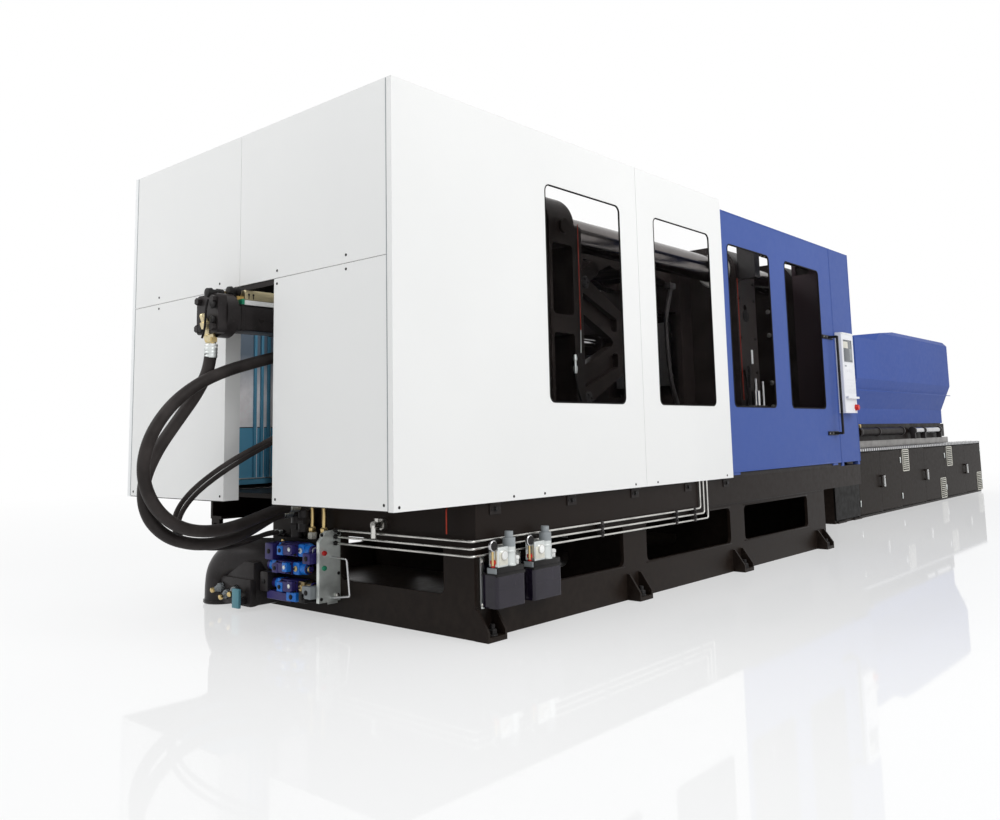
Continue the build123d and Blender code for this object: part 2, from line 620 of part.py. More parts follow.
def build_moving_platen():
    x0, x1 = MOVING_X
    body = platen(x0, x1, PLATEN_Z[0], PLATEN_Z[1], PLATEN_R)
    box = block(BOX_X0, x0, -340, 340, Z_C - PIN_DZ - 100, Z_C + PIN_DZ + 100)
    body += box
    for side in (-1, 1):
        low, high = sorted((side * PLATE_Y[0], side * PLATE_Y[1]))
        arm = ear(BOX_X0 + 20, D_X, (PIN_DZ - 120, PIN_DZ + 100), low, high)
        body += arm
        body += below(arm)
    for dz in (-PIN_DZ, PIN_DZ):
        body -= block(BOX_X0 - 5, BOX_X0 + 95, -186, 186, Z_C + dz - 101, Z_C + dz + 101)
    body -= block(BOX_X0 - 5, x0, -300, 300, Z_C - 300, Z_C + 300)
    for y in (-150, 150):
        for dz in (-150, 150):
            body -= rod_x(x0 - 1, x1 + 1, y, Z_C + dz, 20.05)
    body -= rod_y(-PLATEN_Y - 1, -PLATEN_Y + 60, x0 + 125, 1698, 24)
    body -= rod_y(PLATEN_Y - 60, PLATEN_Y + 1, x0 + 125, 1698, 24)
    body = bar_holes(body, x0 - 5, x1 + 5, BAR_R + RUN)
    body = bolt_holes(body, x1, 48, 350, 350, 12)
    return [bolt_holes(body, x1, 48, 210, 350, 12)]


def build_ejector():
    plate = block(3405, 3435, -230, 230, Z_C - 230, Z_C + 230)
    for y in (-150, 150):
        for dz in (-150, 150):
            plate += rod_x(3435, MOVING_X[1] - 2, y, Z_C + dz, 20)
    return [plate]


def build_safety_bar():
    x0 = MOVING_X[0] + 40
    y, z = SAFETY_BAR
    bracket = block(x0, x0 + 80, y - 47, -PLATEN_Y, z - 200, z + 50)
    return [bracket + rod_x(x0, x0 + 1740, y, z, 20)]


# Hydraulics on the clamp end of the base
def build_manifold():
    body = block(414, BASE_X[0], -113, 320, 60, 350)
    plate = [(350, 75), (BASE_X[0], 75), (BASE_X[0], 400), (392, 400), (350, 352)]
    return [body + side_plate(plate, -133.5, -113)]


def valve(y0, y1, z, coil_y0, coil_y1):
    face = 414
    body = soft_block(face - 76, face, y0, y1, z - 30, z + 30, 5, Axis.Y)
    body += rod_y(coil_y0, y0, face - 42, z, 25) + rod_y(coil_y0 - 16, coil_y0, face - 42, z, 12)
    body += rod_y(y1, coil_y1, face - 42, z, 25) + rod_y(coil_y1, coil_y1 + 16, face - 42, z, 12)
    return body + block(face - 100, face - 76, y0 + 20, y1 - 20, z - 22, z + 22)


def build_valves():
    rows = ((20, 306, -70, 236), (60, 220, -30, 276), (20, 136, -70, 302))
    pieces = [valve(y0, y0 + 130, z, c0, c1) for y0, z, c0, c1 in rows]
    return pieces + [soft_block(330, 414, 60, 250, 64, 104, 5, Axis.Y)]


def build_pump_unit():
    drum_y = -700
    drum = rod_x(560, 1100, drum_y, 325, 105) + rod_x(540, 560, drum_y, 325, 70)
    for x in (620, 1000):
        drum += block(x, x + 40, drum_y - 90, drum_y + 90, 20, 260)
    pump = rod_x(520, 700, 700, 200, 120) + rod_x(560, 860, 700, 210, 150)
    for x in (600, 790):
        pump += block(x, x + 40, 590, 810, 20, 140)
    elbow_path = FilletPolyline((520, 700, 175), (360, 700, 175), (360, 860, 175), radius=110)
    elbow = sweep(Plane(origin=(520, 700, 175), z_dir=(-1, 0, 0)) * Circle(92), path=elbow_path)
    elbow += rod_y(820, 880, 360, 175, 118)
    teal = soft_block(500, 560, 400, 560, 20, 260, 10, Axis.X)
    return [drum, pump + elbow, teal]


def build_pipe_fittings():
    top = 350
    pieces = []
    for y in (-53.5, 36.5):
        pipe = rod_z(top, 526, 440, y, 9) + hex_z(top, top + 34, 440, y, 34)
        pieces.append(pipe + hex_z(top + 42, top + 62, 440, y, 38) + rod_z(top, top + 62, 440, y, 13))
    for x, y, z in (END_1, END_2):
        lift = rod_z(top, z + 27, x + 34, y, 27)
        pieces.append(lift + rod_x(x, x + 34, y, z, 27))
    for x, y, z in (END_3, END_4):
        pieces.append(rod_z(top, z + 12, x + 14, y, 12) + rod_x(x, x + 14, y, z, 12))
    loop = FilletPolyline((474, -220, 120), (424, -220, 120), (424, -300, 120), (424, -300, 290), radius=24)
    start = Plane(origin=(474, -220, 120), z_dir=(-1, 0, 0))
    loop_pipe = sweep(start * Circle(8), path=loop)
    loop_pipe += block(416, 474, -308, -292, 282, 298)
    pieces.append(loop_pipe)
    side = FilletPolyline((474, -878, 424), (436, -878, 424), (436, -878, 520), radius=20)
    side_pipe = sweep(Plane(origin=(474, -878, 424), z_dir=(-1, 0, 0)) * Circle(8), path=side)
    side_pipe += rod_z(500, 520, 436, -878, 14) + block(428, 474, -886, -870, 512, 526)
    pieces.append(side_pipe)
    return pieces


def build_tap():
    body = rod_x(404, 474, -446, 440, 17) + hex_x(452, 474, -446, 440, 44) + rod_z(384, 440, 412, -446, 14)
    body += rod_z(440, 462, 430, -446, 11)
    return [body]


def build_tap_lever():
    lever = rod_z(462.3, 470, 430, -446, 13) + block(424, 436, -490, -446, 463, 469)
    return [lever]


LUBE_UNITS = ((507.0, 690.0), (744.0, 941.0))


def build_lubricator_tanks():
    pieces = []
    for x0, x1 in LUBE_UNITS:
        tank = soft_block(x0, x1, -1090, -1002, 130, 262, 14, Axis.Z)
        pieces.append(tank + block(x0 + 20, x1 - 20, -1002, -LOWER_Y, 150, 300))
    return pieces


def build_lubricator_pumps():
    pieces = []
    for x0, x1 in LUBE_UNITS:
        mid = (x0 + x1) / 2
        head = soft_block(x0 + 4, x1 - 4, -1086, -1030, 262, 290, 8, Axis.Z)
        head += rod_z(290, 404, mid + 26, -1058, 27) + rod_z(404, 430, mid + 26, -1058, 18)
        head += soft_block(x0 + 18, mid - 12, -1082, -1036, 290, 372, 6, Axis.Z)
        head += rod_y(-1092, -1082, mid - 40, 340, 18)
        pieces.append(head)
    return pieces


TUBE_BEND = 40.0


def build_steel_tubes():
    y_run = -1018.0
    pieces = []
    for z, x_end in ((400, 2331), (370, 2372), (340, 2414)):
        points = [(440, -133.5, z), (440, y_run, z), (x_end, y_run, z), (x_end, y_run, BEAM_Z[1])]
        path = FilletPolyline(points, radius=TUBE_BEND)
        start = Plane(origin=points[0], z_dir=(0, -1, 0))
        pieces.append(sweep(start * Circle(8), path=path))
    for x in (1350, 2050, 2250):
        clamp = block(x, x + 24, -1032, -1009.5, 326, 414)
        clamp += block(x, x + 24, -1009.5, -LOWER_Y, 326, BEAM_Z[0])
        for z in (400, 370, 340):
            clamp -= rod_x(x - 1, x + 25, y_run, z, 8)
        pieces.append(clamp)
    return pieces


# Free hoses, each a row of straight runs and tangent arcs
PORT_1 = (-148.0, 0.0, Z_C - 132.0)
PORT_2 = (372.0, 0.0, 1238.0)
PORT_3 = (1370.0, -16.0, 1150.0)
PORT_4 = (1370.0, 24.0, 1122.0)
END_1 = (396.0, 146.0, 478.0)
END_2 = (392.0, 86.0, 508.0)
END_3 = (424.0, 262.0, 372.0)
END_4 = (424.0, 296.0, 372.0)
HOSE_BIG_R = 27.0
HOSE_SMALL_R = 11.0
HOSE_1 = [PORT_1, (-148, 0, 1162), (-194, 28, 1040), (-272, 56, 918), (-356, 74, 790), (-410, 84, 655)]
HOSE_1 += [(-388, 92, 520), (-292, 102, 424), (-160, 113, 377), (-18, 124, 368), (116, 132, 396)]
HOSE_1 += [(232, 140, 444), (316, 146, 478), END_1]
HOSE_2 = [PORT_2, (290, 0, 1238), (170, -12, 1212), (40, -30, 1178), (-102, -48, 1138), (-240, -48, 1076)]
HOSE_2 += [(-362, -40, 980), (-446, -22, 842), (-456, 4, 690), (-382, 26, 548), (-252, 44, 456)]
HOSE_2 += [(-96, 60, 428), (60, 72, 446), (204, 82, 484), (300, 86, 508), END_2]
HOSE_3 = [PORT_3, (1240, -16, 1150), (1010, -20, 1112), (740, -24, 1046), (470, -28, 966), (260, -32, 880)]
HOSE_3 += [(110, -20, 812), (-10, 10, 752), (-112, 60, 676), (-182, 110, 600), (-214, 160, 520)]
HOSE_3 += [(-200, 200, 440), (-130, 230, 380), (-10, 250, 352), (120, 260, 348), (250, 262, 356)]
HOSE_3 += [(350, 262, 372), END_3]
HOSE_4 = [PORT_4, (1240, 24, 1122), (1010, 20, 1080), (740, 16, 1016), (470, 12, 936), (270, 10, 854)]
HOSE_4 += [(130, 22, 788), (20, 50, 726), (-78, 98, 652), (-144, 146, 580), (-174, 196, 500)]
HOSE_4 += [(-160, 236, 424), (-94, 268, 362), (20, 286, 330), (140, 294, 322), (262, 296, 340)]
HOSE_4 += [(352, 296, 372), END_4]


def hose(name, points, r):
    radii = []
    for a, b, c in zip(points, points[1:], points[2:]):
        u = Vector(*b) - Vector(*a)
        w = Vector(*c) - Vector(*b)
        half = math.radians(u.get_angle(w)) / 2
        radii.append(0.45 * min(u.length, w.length) / math.tan(half))
    path = FilletPolyline(points, radius=radii)
    first = Vector(*points[1]) - Vector(*points[0])
    tube = sweep(Plane(origin=points[0], z_dir=first) * Circle(r), path=path)
    expected = math.pi * r * r * path.length
    print(name, "length", round(path.length), "radii", [round(v) for v in radii])
    print(name, "volume ratio", round(tube.volume / expected, 4))
    return [tube]


# Injection side
def build_injection_base():
    x0, x1 = INJ_BASE_X
    end = X_LAST - 16
    body = block(x0, end, -CAB_Y, CAB_Y, 600, CAB_TOP)
    body += block(x1, end, -CAB_Y, CAB_Y, 0, 20)
    body += block(x0, x0 + 20, -CAB_Y, CAB_Y, 450, 600)
    for y0, y1 in ((-CAB_Y, -CAB_Y + 100), (CAB_Y - 100, CAB_Y)):
        body += block(x0, x1, y0, y1, 450, 600)
    for x in (x1,) + DOOR_X[:-1] + (end - 20,):
        wall = block(x, x + 20, -CAB_Y, CAB_Y, 20, 600)
        if x0 < x < end - 20 and x != x1:
            wall -= soft_block(x - 5, x + 25, -300, 400, 120, 500, 50, Axis.X)
        body += wall
    for x in (5700, 6080):
        body += block(x, x + 190, -CAB_Y - 15, -CAB_Y, 0, 14)
    return [body]


def door(i):
    x0 = DOOR_X[i] + 1.5
    x1 = DOOR_X[i + 1] - 1.5
    y0 = -DOOR_Y
    z0, z1 = 30.0, 598.0
    body = block(x0, x1, y0, -DOOR_BACK, z0, z1)
    body -= block(x0 + 3, x1 - 3, y0 + 3, -DOOR_BACK + 1, z0 + 3, z1 - 3)
    vents = []
    if i in (2, 4):
        vents = [(7522.0, 7695.0, 393.0, 584.0)] if i == 2 else [(9090.0, 9280.0, 387.0, 578.0)]
    if i == 3:
        vents = [(8790.0, 8969.0, 40.0, 232.0)]
    if i == 5:
        vents = [(10338.0, 10515.0, 40.0, 232.0)]
    for v0, v1, w0, w1 in vents:
        body -= block(v0, v1, y0 - 1, y0 + 4, w0, w1)
        pitch = (w1 - w0) / 9
        for k in range(9):
            z = w0 + pitch * k
            body += side_plate([(v0, z), (v1, z), (v1, z + 4), (v0, z + 4)], y0, y0 + 12)
        body += block(v0, v0 + 3, y0, y0 + 12, w0, w1) + block(v1 - 3, v1, y0, y0 + 12, w0, w1)
    hx = x0 + 36 if i in (1, 3, 5) else x1 - 36
    body += block(hx - 7, hx + 7, y0 - 24, y0 - 16, 252, 372)
    body += block(hx - 6, hx + 6, y0 - 16, y0, 256, 268) + block(hx - 6, hx + 6, y0 - 16, y0, 356, 368)
    pivot = x1 - 3 if i in (1, 3, 5) else x0 + 3
    for z in (110, 470):
        body += rod_z(z, z + 50, pivot, y0 - 3, 4)
    return [body]


def build_cabinet_plates():
    x1 = INJ_BASE_X[1]
    near = block(x1, DOOR_X[0] - 1.5, -DOOR_Y, -CAB_Y, 30, 600)
    near += block(x1, x1 + 3, -DOOR_Y, -CAB_Y, 30, 600)
    end = block(X_LAST - 16, X_LAST, -DOOR_Y, DOOR_Y, 30, CAB_TOP)
    pieces = [near, end]
    edges = (x1, 7432, 8985, X_LAST - 18)
    for a, b in zip(edges, edges[1:]):
        pieces.append(block(a + 1, b - 1, CAB_Y, DOOR_Y, 30, 600))
    return pieces


def build_tread_plate():
    top = block(INJ_BASE_X[1], X_LAST - 18, -DOOR_Y - 8, -330, CAB_TOP, CAB_TOP + 10)
    top += block(INJ_BASE_X[1], X_LAST - 18, -DOOR_Y - 8, -DOOR_Y - 2, CAB_TOP - 14, CAB_TOP + 10)
    return [top]


def cover_body(t):
    side = [(COVER_X[0] + t, 860), (COVER_X[1] - t, 860), (COVER_X[1] - t, 1839 - t), (7700, 1836 - t)]
    side += [(7176, 1788 - t), (7053, 1705 - t), (COVER_X[0] + t, 1705 - t)]
    half = [(352.5 + 4 - t, 860 if t else 867), (356.5 - t, 1022), (473.5 - t, 1305), (473.5 - t, 1790)]
    half += [(420 - t * 0.6, 1850 if t == 0 else 1850 - t)]
    outline = [(-y, z) for y, z in half] + [(y, z) for y, z in reversed(half)]
    return side_plate(side, -480, 480) & end_plate(outline, COVER_X[0], COVER_X[1])


def build_injection_cover():
    shell = cover_body(0) - cover_body(GUARD_T)
    shell -= rod_x(COVER_X[0] - 5, COVER_X[0] + 10, 0, Z_C, 110)
    return [shell]


def build_carriage():
    x0 = COVER_X[0] + 40
    x1 = COVER_X[1] - 60
    body = block(x0, x1, -330, 330, CARRIAGE_Z, CARRIAGE_Z + 40)
    for y0, y1 in ((-352.5, -330), (330, 352.5)):
        body += block(x0, x1, y0, y1, CARRIAGE_Z, 900)
    front = block(x0, x0 + 120, -300, 300, CARRIAGE_Z, 1600)
    front -= rod_x(x0 - 5, x0 + 125, 0, Z_C, BARREL_R + 0.05)
    rear = block(x1 - 140, x1, -300, 300, CARRIAGE_Z, 1600)
    body += front
    body += rear
    for y in (-230, 230):
        body += rod_x(x0 + 60, x1 - 60, y, Z_C, 38)
    for y in (-400, 400):
        side = 1 if y > 0 else -1
        arm = sorted((side * 340, side * 400))
        for x in (6700, 7760):
            body += block(x, x + 50, arm[0], arm[1], 760, 820)
        body += rod_x(6600, 7860, y, 790, 38) + rod_x(6560, 6600, y, 790, 46)
    body += block(x1 - 1, 9690, -330, 330, 710, 860)
    return [body]


def build_barrel():
    x0 = 4640.0
    body = rod_x(4760, COVER_X[0] + 160, 0, Z_C, BARREL_R)
    body += rod_x(x0 + 30, 4760, 0, Z_C, 38)
    body += Pos(x0 + 15, 0, Z_C) * Rot(0, 90, 0) * Cone(16, 30, 30)
    for x in range(4900, 6300, 200):
        body += rod_x(x, x + 170, 0, Z_C, BARREL_R + 14)
        body += block(x + 60, x + 110, -16, 16, Z_C + BARREL_R + 10, Z_C + BARREL_R + 34)
    body -= rod_x(4860, COVER_X[0] + 170, 0, Z_C, BARREL_BORE)
    return [body - rod_x(x0 - 1, 4861, 0, Z_C, 5)]


def build_screw():
    body = rod_x(5240, 8250, 0, Z_C, 27)
    body += Pos(5210, 0, Z_C) * Rot(0, 90, 0) * Cone(4, 30, 60)
    for x in range(5300, 6500, 80):
        body += rod_x(x, x + 10, 0, Z_C, SCREW_R)
    return [body]


def build_injection_plate():
    plate = block(8250, 8370, -300, 300, Z_C - 190, Z_C + 190)
    for y in (-230, 230):
        plate -= rod_x(8240, 8380, y, Z_C, 38.05)
    plate += rod_x(8370, 8640, 0, Z_C, 120) + rod_x(8640, 8700, 0, Z_C, 70)
    return [plate]


def main():
    near_cover = cover_sheet(WINDOW_COVER)
    far_cover = [far_side(piece) for piece in cover_sheet(())]
    front = gate(WINDOW_GATE)
    rear = far_side(gate(())) + far_side(handle())
    rear_link = build_rear_link()
    front_link = build_front_link()
    small = build_small_link()
    y_pane = -GUARD_Y + GUARD_T
    save("clamp_base", [build_clamp_base()])
    save("slide_rails", build_slide_rails())
    save("front_guard", near_cover)
    save("rear_guard", far_cover)
    save("end_panels", build_end_panels())
    save("guard_frame", build_guard_frame())
    save("guard_panes", panes(WINDOW_COVER, WINDOW_COVER_Z, y_pane, PANE_T))
    save("gate_rails", build_gate_rails())
    save("front_gate", [front])
    save("front_gate_panes", panes(WINDOW_GATE, WINDOW_GATE_Z, -GATE_Y + GUARD_T, PANE_T))
    save("gate_handle", [handle()])
    save("rear_gate", [rear])
    save("fixed_guards", build_fixed_guards())
    save("control_panel", build_control_panel())
    save("stop_button", build_stop_button())
    save("fixed_platen", build_fixed_platen())
    save("tie_bars", build_tie_bars())
    save("tailstock_platen", build_tailstock())
    save("adjust_nuts", build_adjust_nuts())
    save("clamp_cylinder", build_clamp_cylinder())
    save("cylinder_ports", build_cylinder_ports())
    save("guide_rods", build_guide_rods())
    save("crosshead", build_crosshead())
    save("piston_rod", build_piston_rod())
    save("rear_link_upper", [rear_link])
    save("rear_link_lower", [below(rear_link)])
    save("front_link_upper", [front_link])
    save("front_link_lower", [below(front_link)])
    save("small_link_upper", small)
    save("small_link_lower", [below(piece) for piece in small])
    save("moving_platen", build_moving_platen())
    save("ejector", build_ejector())
    save("safety_bar", build_safety_bar())
    save("manifold", build_manifold())
    save("valves", build_valves())
    save("pump_unit", build_pump_unit())
    save("pipe_fittings", build_pipe_fittings())
    save("tap", build_tap())
    save("tap_lever", build_tap_lever())
    save("lubricator_tanks", build_lubricator_tanks())
    save("lubricator_pumps", build_lubricator_pumps())
    save("steel_tubes", build_steel_tubes())
    save("hose_large_1", hose("hose_large_1", HOSE_1, HOSE_BIG_R))
    save("hose_large_2", hose("hose_large_2", HOSE_2, HOSE_BIG_R))
    save("hose_small_1", hose("hose_small_1", HOSE_3, HOSE_SMALL_R))
    save("hose_small_2", hose("hose_small_2", HOSE_4, HOSE_SMALL_R))
    save("injection_base", build_injection_base())
    save("cabinet_plates", build_cabinet_plates())
    save("tread_plate", build_tread_plate())
    save("carriage", build_carriage())
    save("injection_cover", build_injection_cover())
    save("barrel", build_barrel())
    save("screw", build_screw())
    save("injection_plate", build_injection_plate())
    for i in range(len(DOOR_X) - 1):
        save("door_" + str(i + 1), door(i))


main()
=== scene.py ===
"""Dresses the injection moulding machine: hoses, sheet guards, clamp, hydraulics, cabinets and hood."""

import logging
import math
from dataclasses import dataclass, field
from enum import Enum
from typing import Any, Callable, Iterable, Sequence, Union

import bmesh
import bpy
from mathutils import Matrix, Vector


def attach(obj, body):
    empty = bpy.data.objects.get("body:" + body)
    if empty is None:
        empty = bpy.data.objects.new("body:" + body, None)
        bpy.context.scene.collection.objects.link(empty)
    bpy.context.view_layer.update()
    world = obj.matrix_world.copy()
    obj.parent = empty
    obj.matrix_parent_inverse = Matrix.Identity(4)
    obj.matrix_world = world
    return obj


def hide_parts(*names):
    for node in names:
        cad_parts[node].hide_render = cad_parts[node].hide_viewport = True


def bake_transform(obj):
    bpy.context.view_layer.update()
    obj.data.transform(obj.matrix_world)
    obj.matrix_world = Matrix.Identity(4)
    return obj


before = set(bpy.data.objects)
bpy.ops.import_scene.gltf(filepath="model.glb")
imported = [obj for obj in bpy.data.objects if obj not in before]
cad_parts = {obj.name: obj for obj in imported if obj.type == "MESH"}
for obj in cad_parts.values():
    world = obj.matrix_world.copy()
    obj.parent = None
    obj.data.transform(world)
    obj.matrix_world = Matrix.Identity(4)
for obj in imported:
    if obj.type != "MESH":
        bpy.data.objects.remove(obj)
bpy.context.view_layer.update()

LOG = logging.getLogger("moulding_machine")
FRAME_X = -5185.5
FRAME = "frame"
TAILSTOCK = "tailstock"
MOVING = "moving_platen_body"
SEEN_RAYS = ("Is Camera Ray", "Is Glossy Ray", "Is Transmission Ray")
WHITE_LIGHT = (1.0, 1.0, 1.0, 1.0)
LARGEST_BEVEL = 0.45
SMALLEST_BEVEL = 0.0002
SHARP_FROM = math.radians(38)
TUBE_CLAMPS = (1350, 2050, 2250)
DUST = (0.22, 0.20, 0.18)
SOIL = (0.16, 0.13, 0.10)
BASE_BLACK = (0.013, 0.0088, 0.007)
DOOR_BLACK = (0.018, 0.0125, 0.0095)
Point = tuple[float, float, float]
Colour = tuple[float, float, float]


def at(x: float, y: float, z: float) -> Vector:
    """Turn a shop point in millimetres, X from the clamp end cover, into the row frame in metres."""
    return Vector(((x + FRAME_X) / 1000, y / 1000, z / 1000))


class Axis(Enum):
    """A main direction of the machine."""

    X = (1.0, 0.0, 0.0)
    Y = (0.0, 1.0, 0.0)
    Z = (0.0, 0.0, 1.0)


Value = Union["Sock", float]


def operator(operation: str, reflected: bool = False) -> Callable[["Sock", Value], "Sock"]:
    """Return a method that adds one Math node.

    Args:
        operation: The Math node's operation.
        reflected: Whether the socket comes after the other value.

    Returns:
        The method.
    """
    if reflected:
        return lambda sock, other: sock.math(operation, other, sock)
    return lambda sock, other: sock.math(operation, sock, other)


class Sock:
    """A node socket that can be used in arithmetic, each operator adding one Math node."""

    __add__, __radd__ = operator("ADD"), operator("ADD", True)
    __sub__, __rsub__ = operator("SUBTRACT"), operator("SUBTRACT", True)
    __mul__, __rmul__ = operator("MULTIPLY"), operator("MULTIPLY", True)
    __truediv__ = operator("DIVIDE")

    def __init__(self, web: "Web", socket: bpy.types.NodeSocket) -> None:
        """Keep the web and the output socket."""
        self.web = web
        self.socket = socket

    def math(self, operation: str, a: Value, b: Value) -> "Sock":
        """Add a Math node.

        Args:
            operation: The Math node's operation.
            a: First value or socket.
            b: Second value or socket.

        Returns:
            The node's output.
        """
        return self.web.add("ShaderNodeMath", {"operation": operation}, {0: a, 1: b})

    def above(self, limit: Value) -> "Sock":
        """Return 1 where this value is above the limit."""
        return self.math("GREATER_THAN", self, limit)

    def below(self, limit: Value) -> "Sock":
        """Return 1 where this value is below the limit."""
        return self.math("LESS_THAN", self, limit)

    def wrapped(self, period: float) -> "Sock":
        """Return the distance from the middle of a repeating cell, 0 at the middle and 0.5 at its edge."""
        cell = self.web.add("ShaderNodeMath", {"operation": "FRACT"}, {0: self / period})
        return self.web.add("ShaderNodeMath", {"operation": "ABSOLUTE"}, {0: cell - 0.5})

    def clamped(self, low: float, high: float, to_low: float = 0.0, to_high: float = 1.0) -> "Sock":
        """Map a range of this value to another, clamped.

        Args:
            low: Value that gives to_low.
            high: Value that gives to_high.
            to_low: First result.
            to_high: Last result.

        Returns:
            The mapped value.
        """
        inputs = {0: self, 1: low, 2: high, 3: to_low, 4: to_high}
        return self.web.add("ShaderNodeMapRange", {"clamp": True}, inputs)


class Web:
    """The node web of one material or of the world."""

    def __init__(self, name: str, tree: bpy.types.NodeTree | None = None) -> None:
        """Start an empty material of this name, or take over a tree.

        Args:
            name: The material's name.
            tree: A tree to clear and fill, such as the world's.
        """
        if tree is None:
            self.material = bpy.data.materials.new(name)
            self.material.use_nodes = True
            tree = self.material.node_tree
        self.tree = tree
        self.tree.nodes.clear()

    def add(
        self,
        kind: str,
        settings: dict[str, Any] | None = None,
        inputs: dict[int | str, Any] | None = None,
        output: int | str = 0,
    ) -> Sock:
        """Add any node.

        Args:
            kind: The node's type.
            settings: Its properties, set first; a list named stops fills a colour ramp.
            inputs: Values or sockets by input index or name.
            output: The output to return.

        Returns:
            That output.
        """
        node = self.tree.nodes.new(kind)
        for key, value in (settings or {}).items():
            if key == "stops":
                ramp = node.color_ramp
                while len(ramp.elements) < len(value):
                    ramp.elements.new(0.5)
                for element, (place, colour) in zip(ramp.elements, value):
                    element.position = place
                    element.color = colour
            else:
                setattr(node, key, value)
        for key, value in (inputs or {}).items():
            if isinstance(value, Sock):
                self.tree.links.new(value.socket, node.inputs[key])
            elif value is not None:
                node.inputs[key].default_value = value
        return Sock(self, node.outputs[output]) if len(node.outputs) else Sock(self, None)

    def place(self) -> Sock:
        """Return the object coordinates, which are the row frame at rest."""
        return self.add("ShaderNodeTexCoord", output="Object")

    def along(self, axis: Axis) -> Sock:
        """Return one coordinate of the row frame in metres."""
        index = {"X": 0, "Y": 1, "Z": 2}[axis.name]
        return self.add("ShaderNodeSeparateXYZ", inputs={0: self.place()}, output=index)

    def noise(self, scale: float, detail: float = 2.0, stretch: Point = (1.0, 1.0, 1.0)) -> Sock:
        """Return noise in the row frame.

        Args:
            scale: Cells in a metre.
            detail: Octaves.
            stretch: Factor on the coordinate in each direction.

        Returns:
            A value around 0.5.
        """
        where = self.place()
        if stretch != (1.0, 1.0, 1.0):
            where = self.add("ShaderNodeVectorMath", {"operation": "MULTIPLY"}, {0: where, 1: stretch})
        return self.add("ShaderNodeTexNoise", inputs={"Vector": where, "Scale": scale, "Detail": detail})

    def blend(self, factor: Value, a: Any, b: Any, mode: str = "MIX") -> Sock:
        """Mix two colours.

        Args:
            factor: Share of the second colour.
            a: First colour or socket.
            b: Second colour or socket.
            mode: Blend mode.

        Returns:
            The colour.
        """
        tint_a = a if isinstance(a, Sock) else (*a, 1.0)
        tint_b = b if isinstance(b, Sock) else (*b, 1.0)
        settings = {"data_type": "RGBA", "blend_type": mode}
        return self.add("ShaderNodeMix", settings, {0: factor, 6: tint_a, 7: tint_b}, 2)

    def bump(self, height: Sock, strength: float, distance: float) -> Sock:
        """Turn a height into a normal.

        Args:
            height: The height field.
            strength: How much of it is used.
            distance: Its depth in metres.

        Returns:
            The normal.
        """
        inputs = {"Height": height, "Strength": strength, "Distance": distance}
        return self.add("ShaderNodeBump", inputs=inputs)

    def facing_up(self) -> Sock:
        """Return 1 on faces that look up and 0 on walls."""
        normal = self.add("ShaderNodeNewGeometry", output="Normal")
        return self.add("ShaderNodeSeparateXYZ", inputs={0: normal}, output=2).clamped(0.5, 0.95)

    def seen(self) -> Sock:
        """Return 1 for the rays that show something to the viewer, and 0 for those that only light."""
        rays = [self.add("ShaderNodeLightPath", output=name) for name in SEEN_RAYS]
        return (rays[0] + rays[1] + rays[2]).above(0.5)

    def surface(self, **sockets: Any) -> bpy.types.Material:
        """Close the web with a Principled shader.

        Args:
            sockets: Values or links by socket name, with underscores for spaces.

        Returns:
            The material.
        """
        inputs = {key.replace("_", " "): value for key, value in sockets.items()}
        shader = self.add("ShaderNodeBsdfPrincipled", inputs=inputs)
        self.add("ShaderNodeOutputMaterial", inputs={0: shader})
        return self.material


def scaled(colour: Colour, factor: float, lift: float = 0.0) -> Colour:
    """Return a colour times a factor, plus a lift, with no part above 1."""
    return tuple(min(1.0, part * factor + lift) for part in colour)


@dataclass(frozen=True)
class Coating:
    """What every finish has: a name and a main colour."""

    name: str
    colour: Colour

    def web(self) -> Web:
        """Return the empty web of this finish's material."""
        return Web(self.name + "_finish")


@dataclass(frozen=True)
class PowderCoat(Coating):
    """Smooth sprayed sheet metal paint with a faint orange peel."""

    roughness: float = 0.34
    coat: float = 0.15
    soil: float = 0.05
    peel: float = 0.05
    shine: float = 0.3

    def make(self) -> bpy.types.Material:
        """Return the material."""
        web = self.web()
        cloud = web.noise(1.3, 3.0)
        fine = web.noise(26.0, 4.0)
        darker = scaled(self.colour, 1.0 - 0.9 * self.soil)
        lighter = scaled(self.colour, 1.0 + 0.5 * self.soil)
        colour = web.blend(cloud.clamped(0.3, 0.7), darker, lighter)
        low = web.along(Axis.Z).clamped(0.0, 0.5, 0.55 * self.soil, 0.0)
        colour = web.blend(low * fine.clamped(0.35, 0.65), colour, SOIL)
        roughness = fine.clamped(0.2, 0.8, self.roughness - 0.05, self.roughness + 0.07)
        peel = web.noise(420.0, 1.0)
        normal = web.bump(peel, self.peel, 0.0006)
        return web.surface(Base_Color=colour, Roughness=roughness, Coat_Weight=self.coat,
                           Coat_Roughness=0.12, Specular_IOR_Level=self.shine, Normal=normal)


@dataclass(frozen=True)
class CastPaint(Coating):
    """Painted sand casting with a grained skin and dusty tops."""

    roughness: float = 0.46
    grain: float = 0.35
    dust: float = 0.25
    shine: float = 0.16

    def make(self) -> bpy.types.Material:
        """Return the material."""
        web = self.web()
        coarse = web.noise(9.0, 4.0)
        grain = web.noise(160.0, 3.0)
        light = scaled(self.colour, 1.55, 0.006)
        colour = web.blend(coarse.clamped(0.35, 0.7), self.colour, light)
        speck = web.noise(90.0, 2.0).above(0.66) * 0.5
        colour = web.blend(speck, colour, scaled(self.colour, 2.2))
        colour = web.blend(web.facing_up() * self.dust, colour, DUST)
        roughness = coarse.clamped(0.3, 0.7, self.roughness - 0.08, self.roughness + 0.1)
        normal = web.bump(grain * 0.7 + coarse * 0.6, self.grain, 0.0025)
        return web.surface(Base_Color=colour, Roughness=roughness, Specular_IOR_Level=self.shine, Normal=normal)


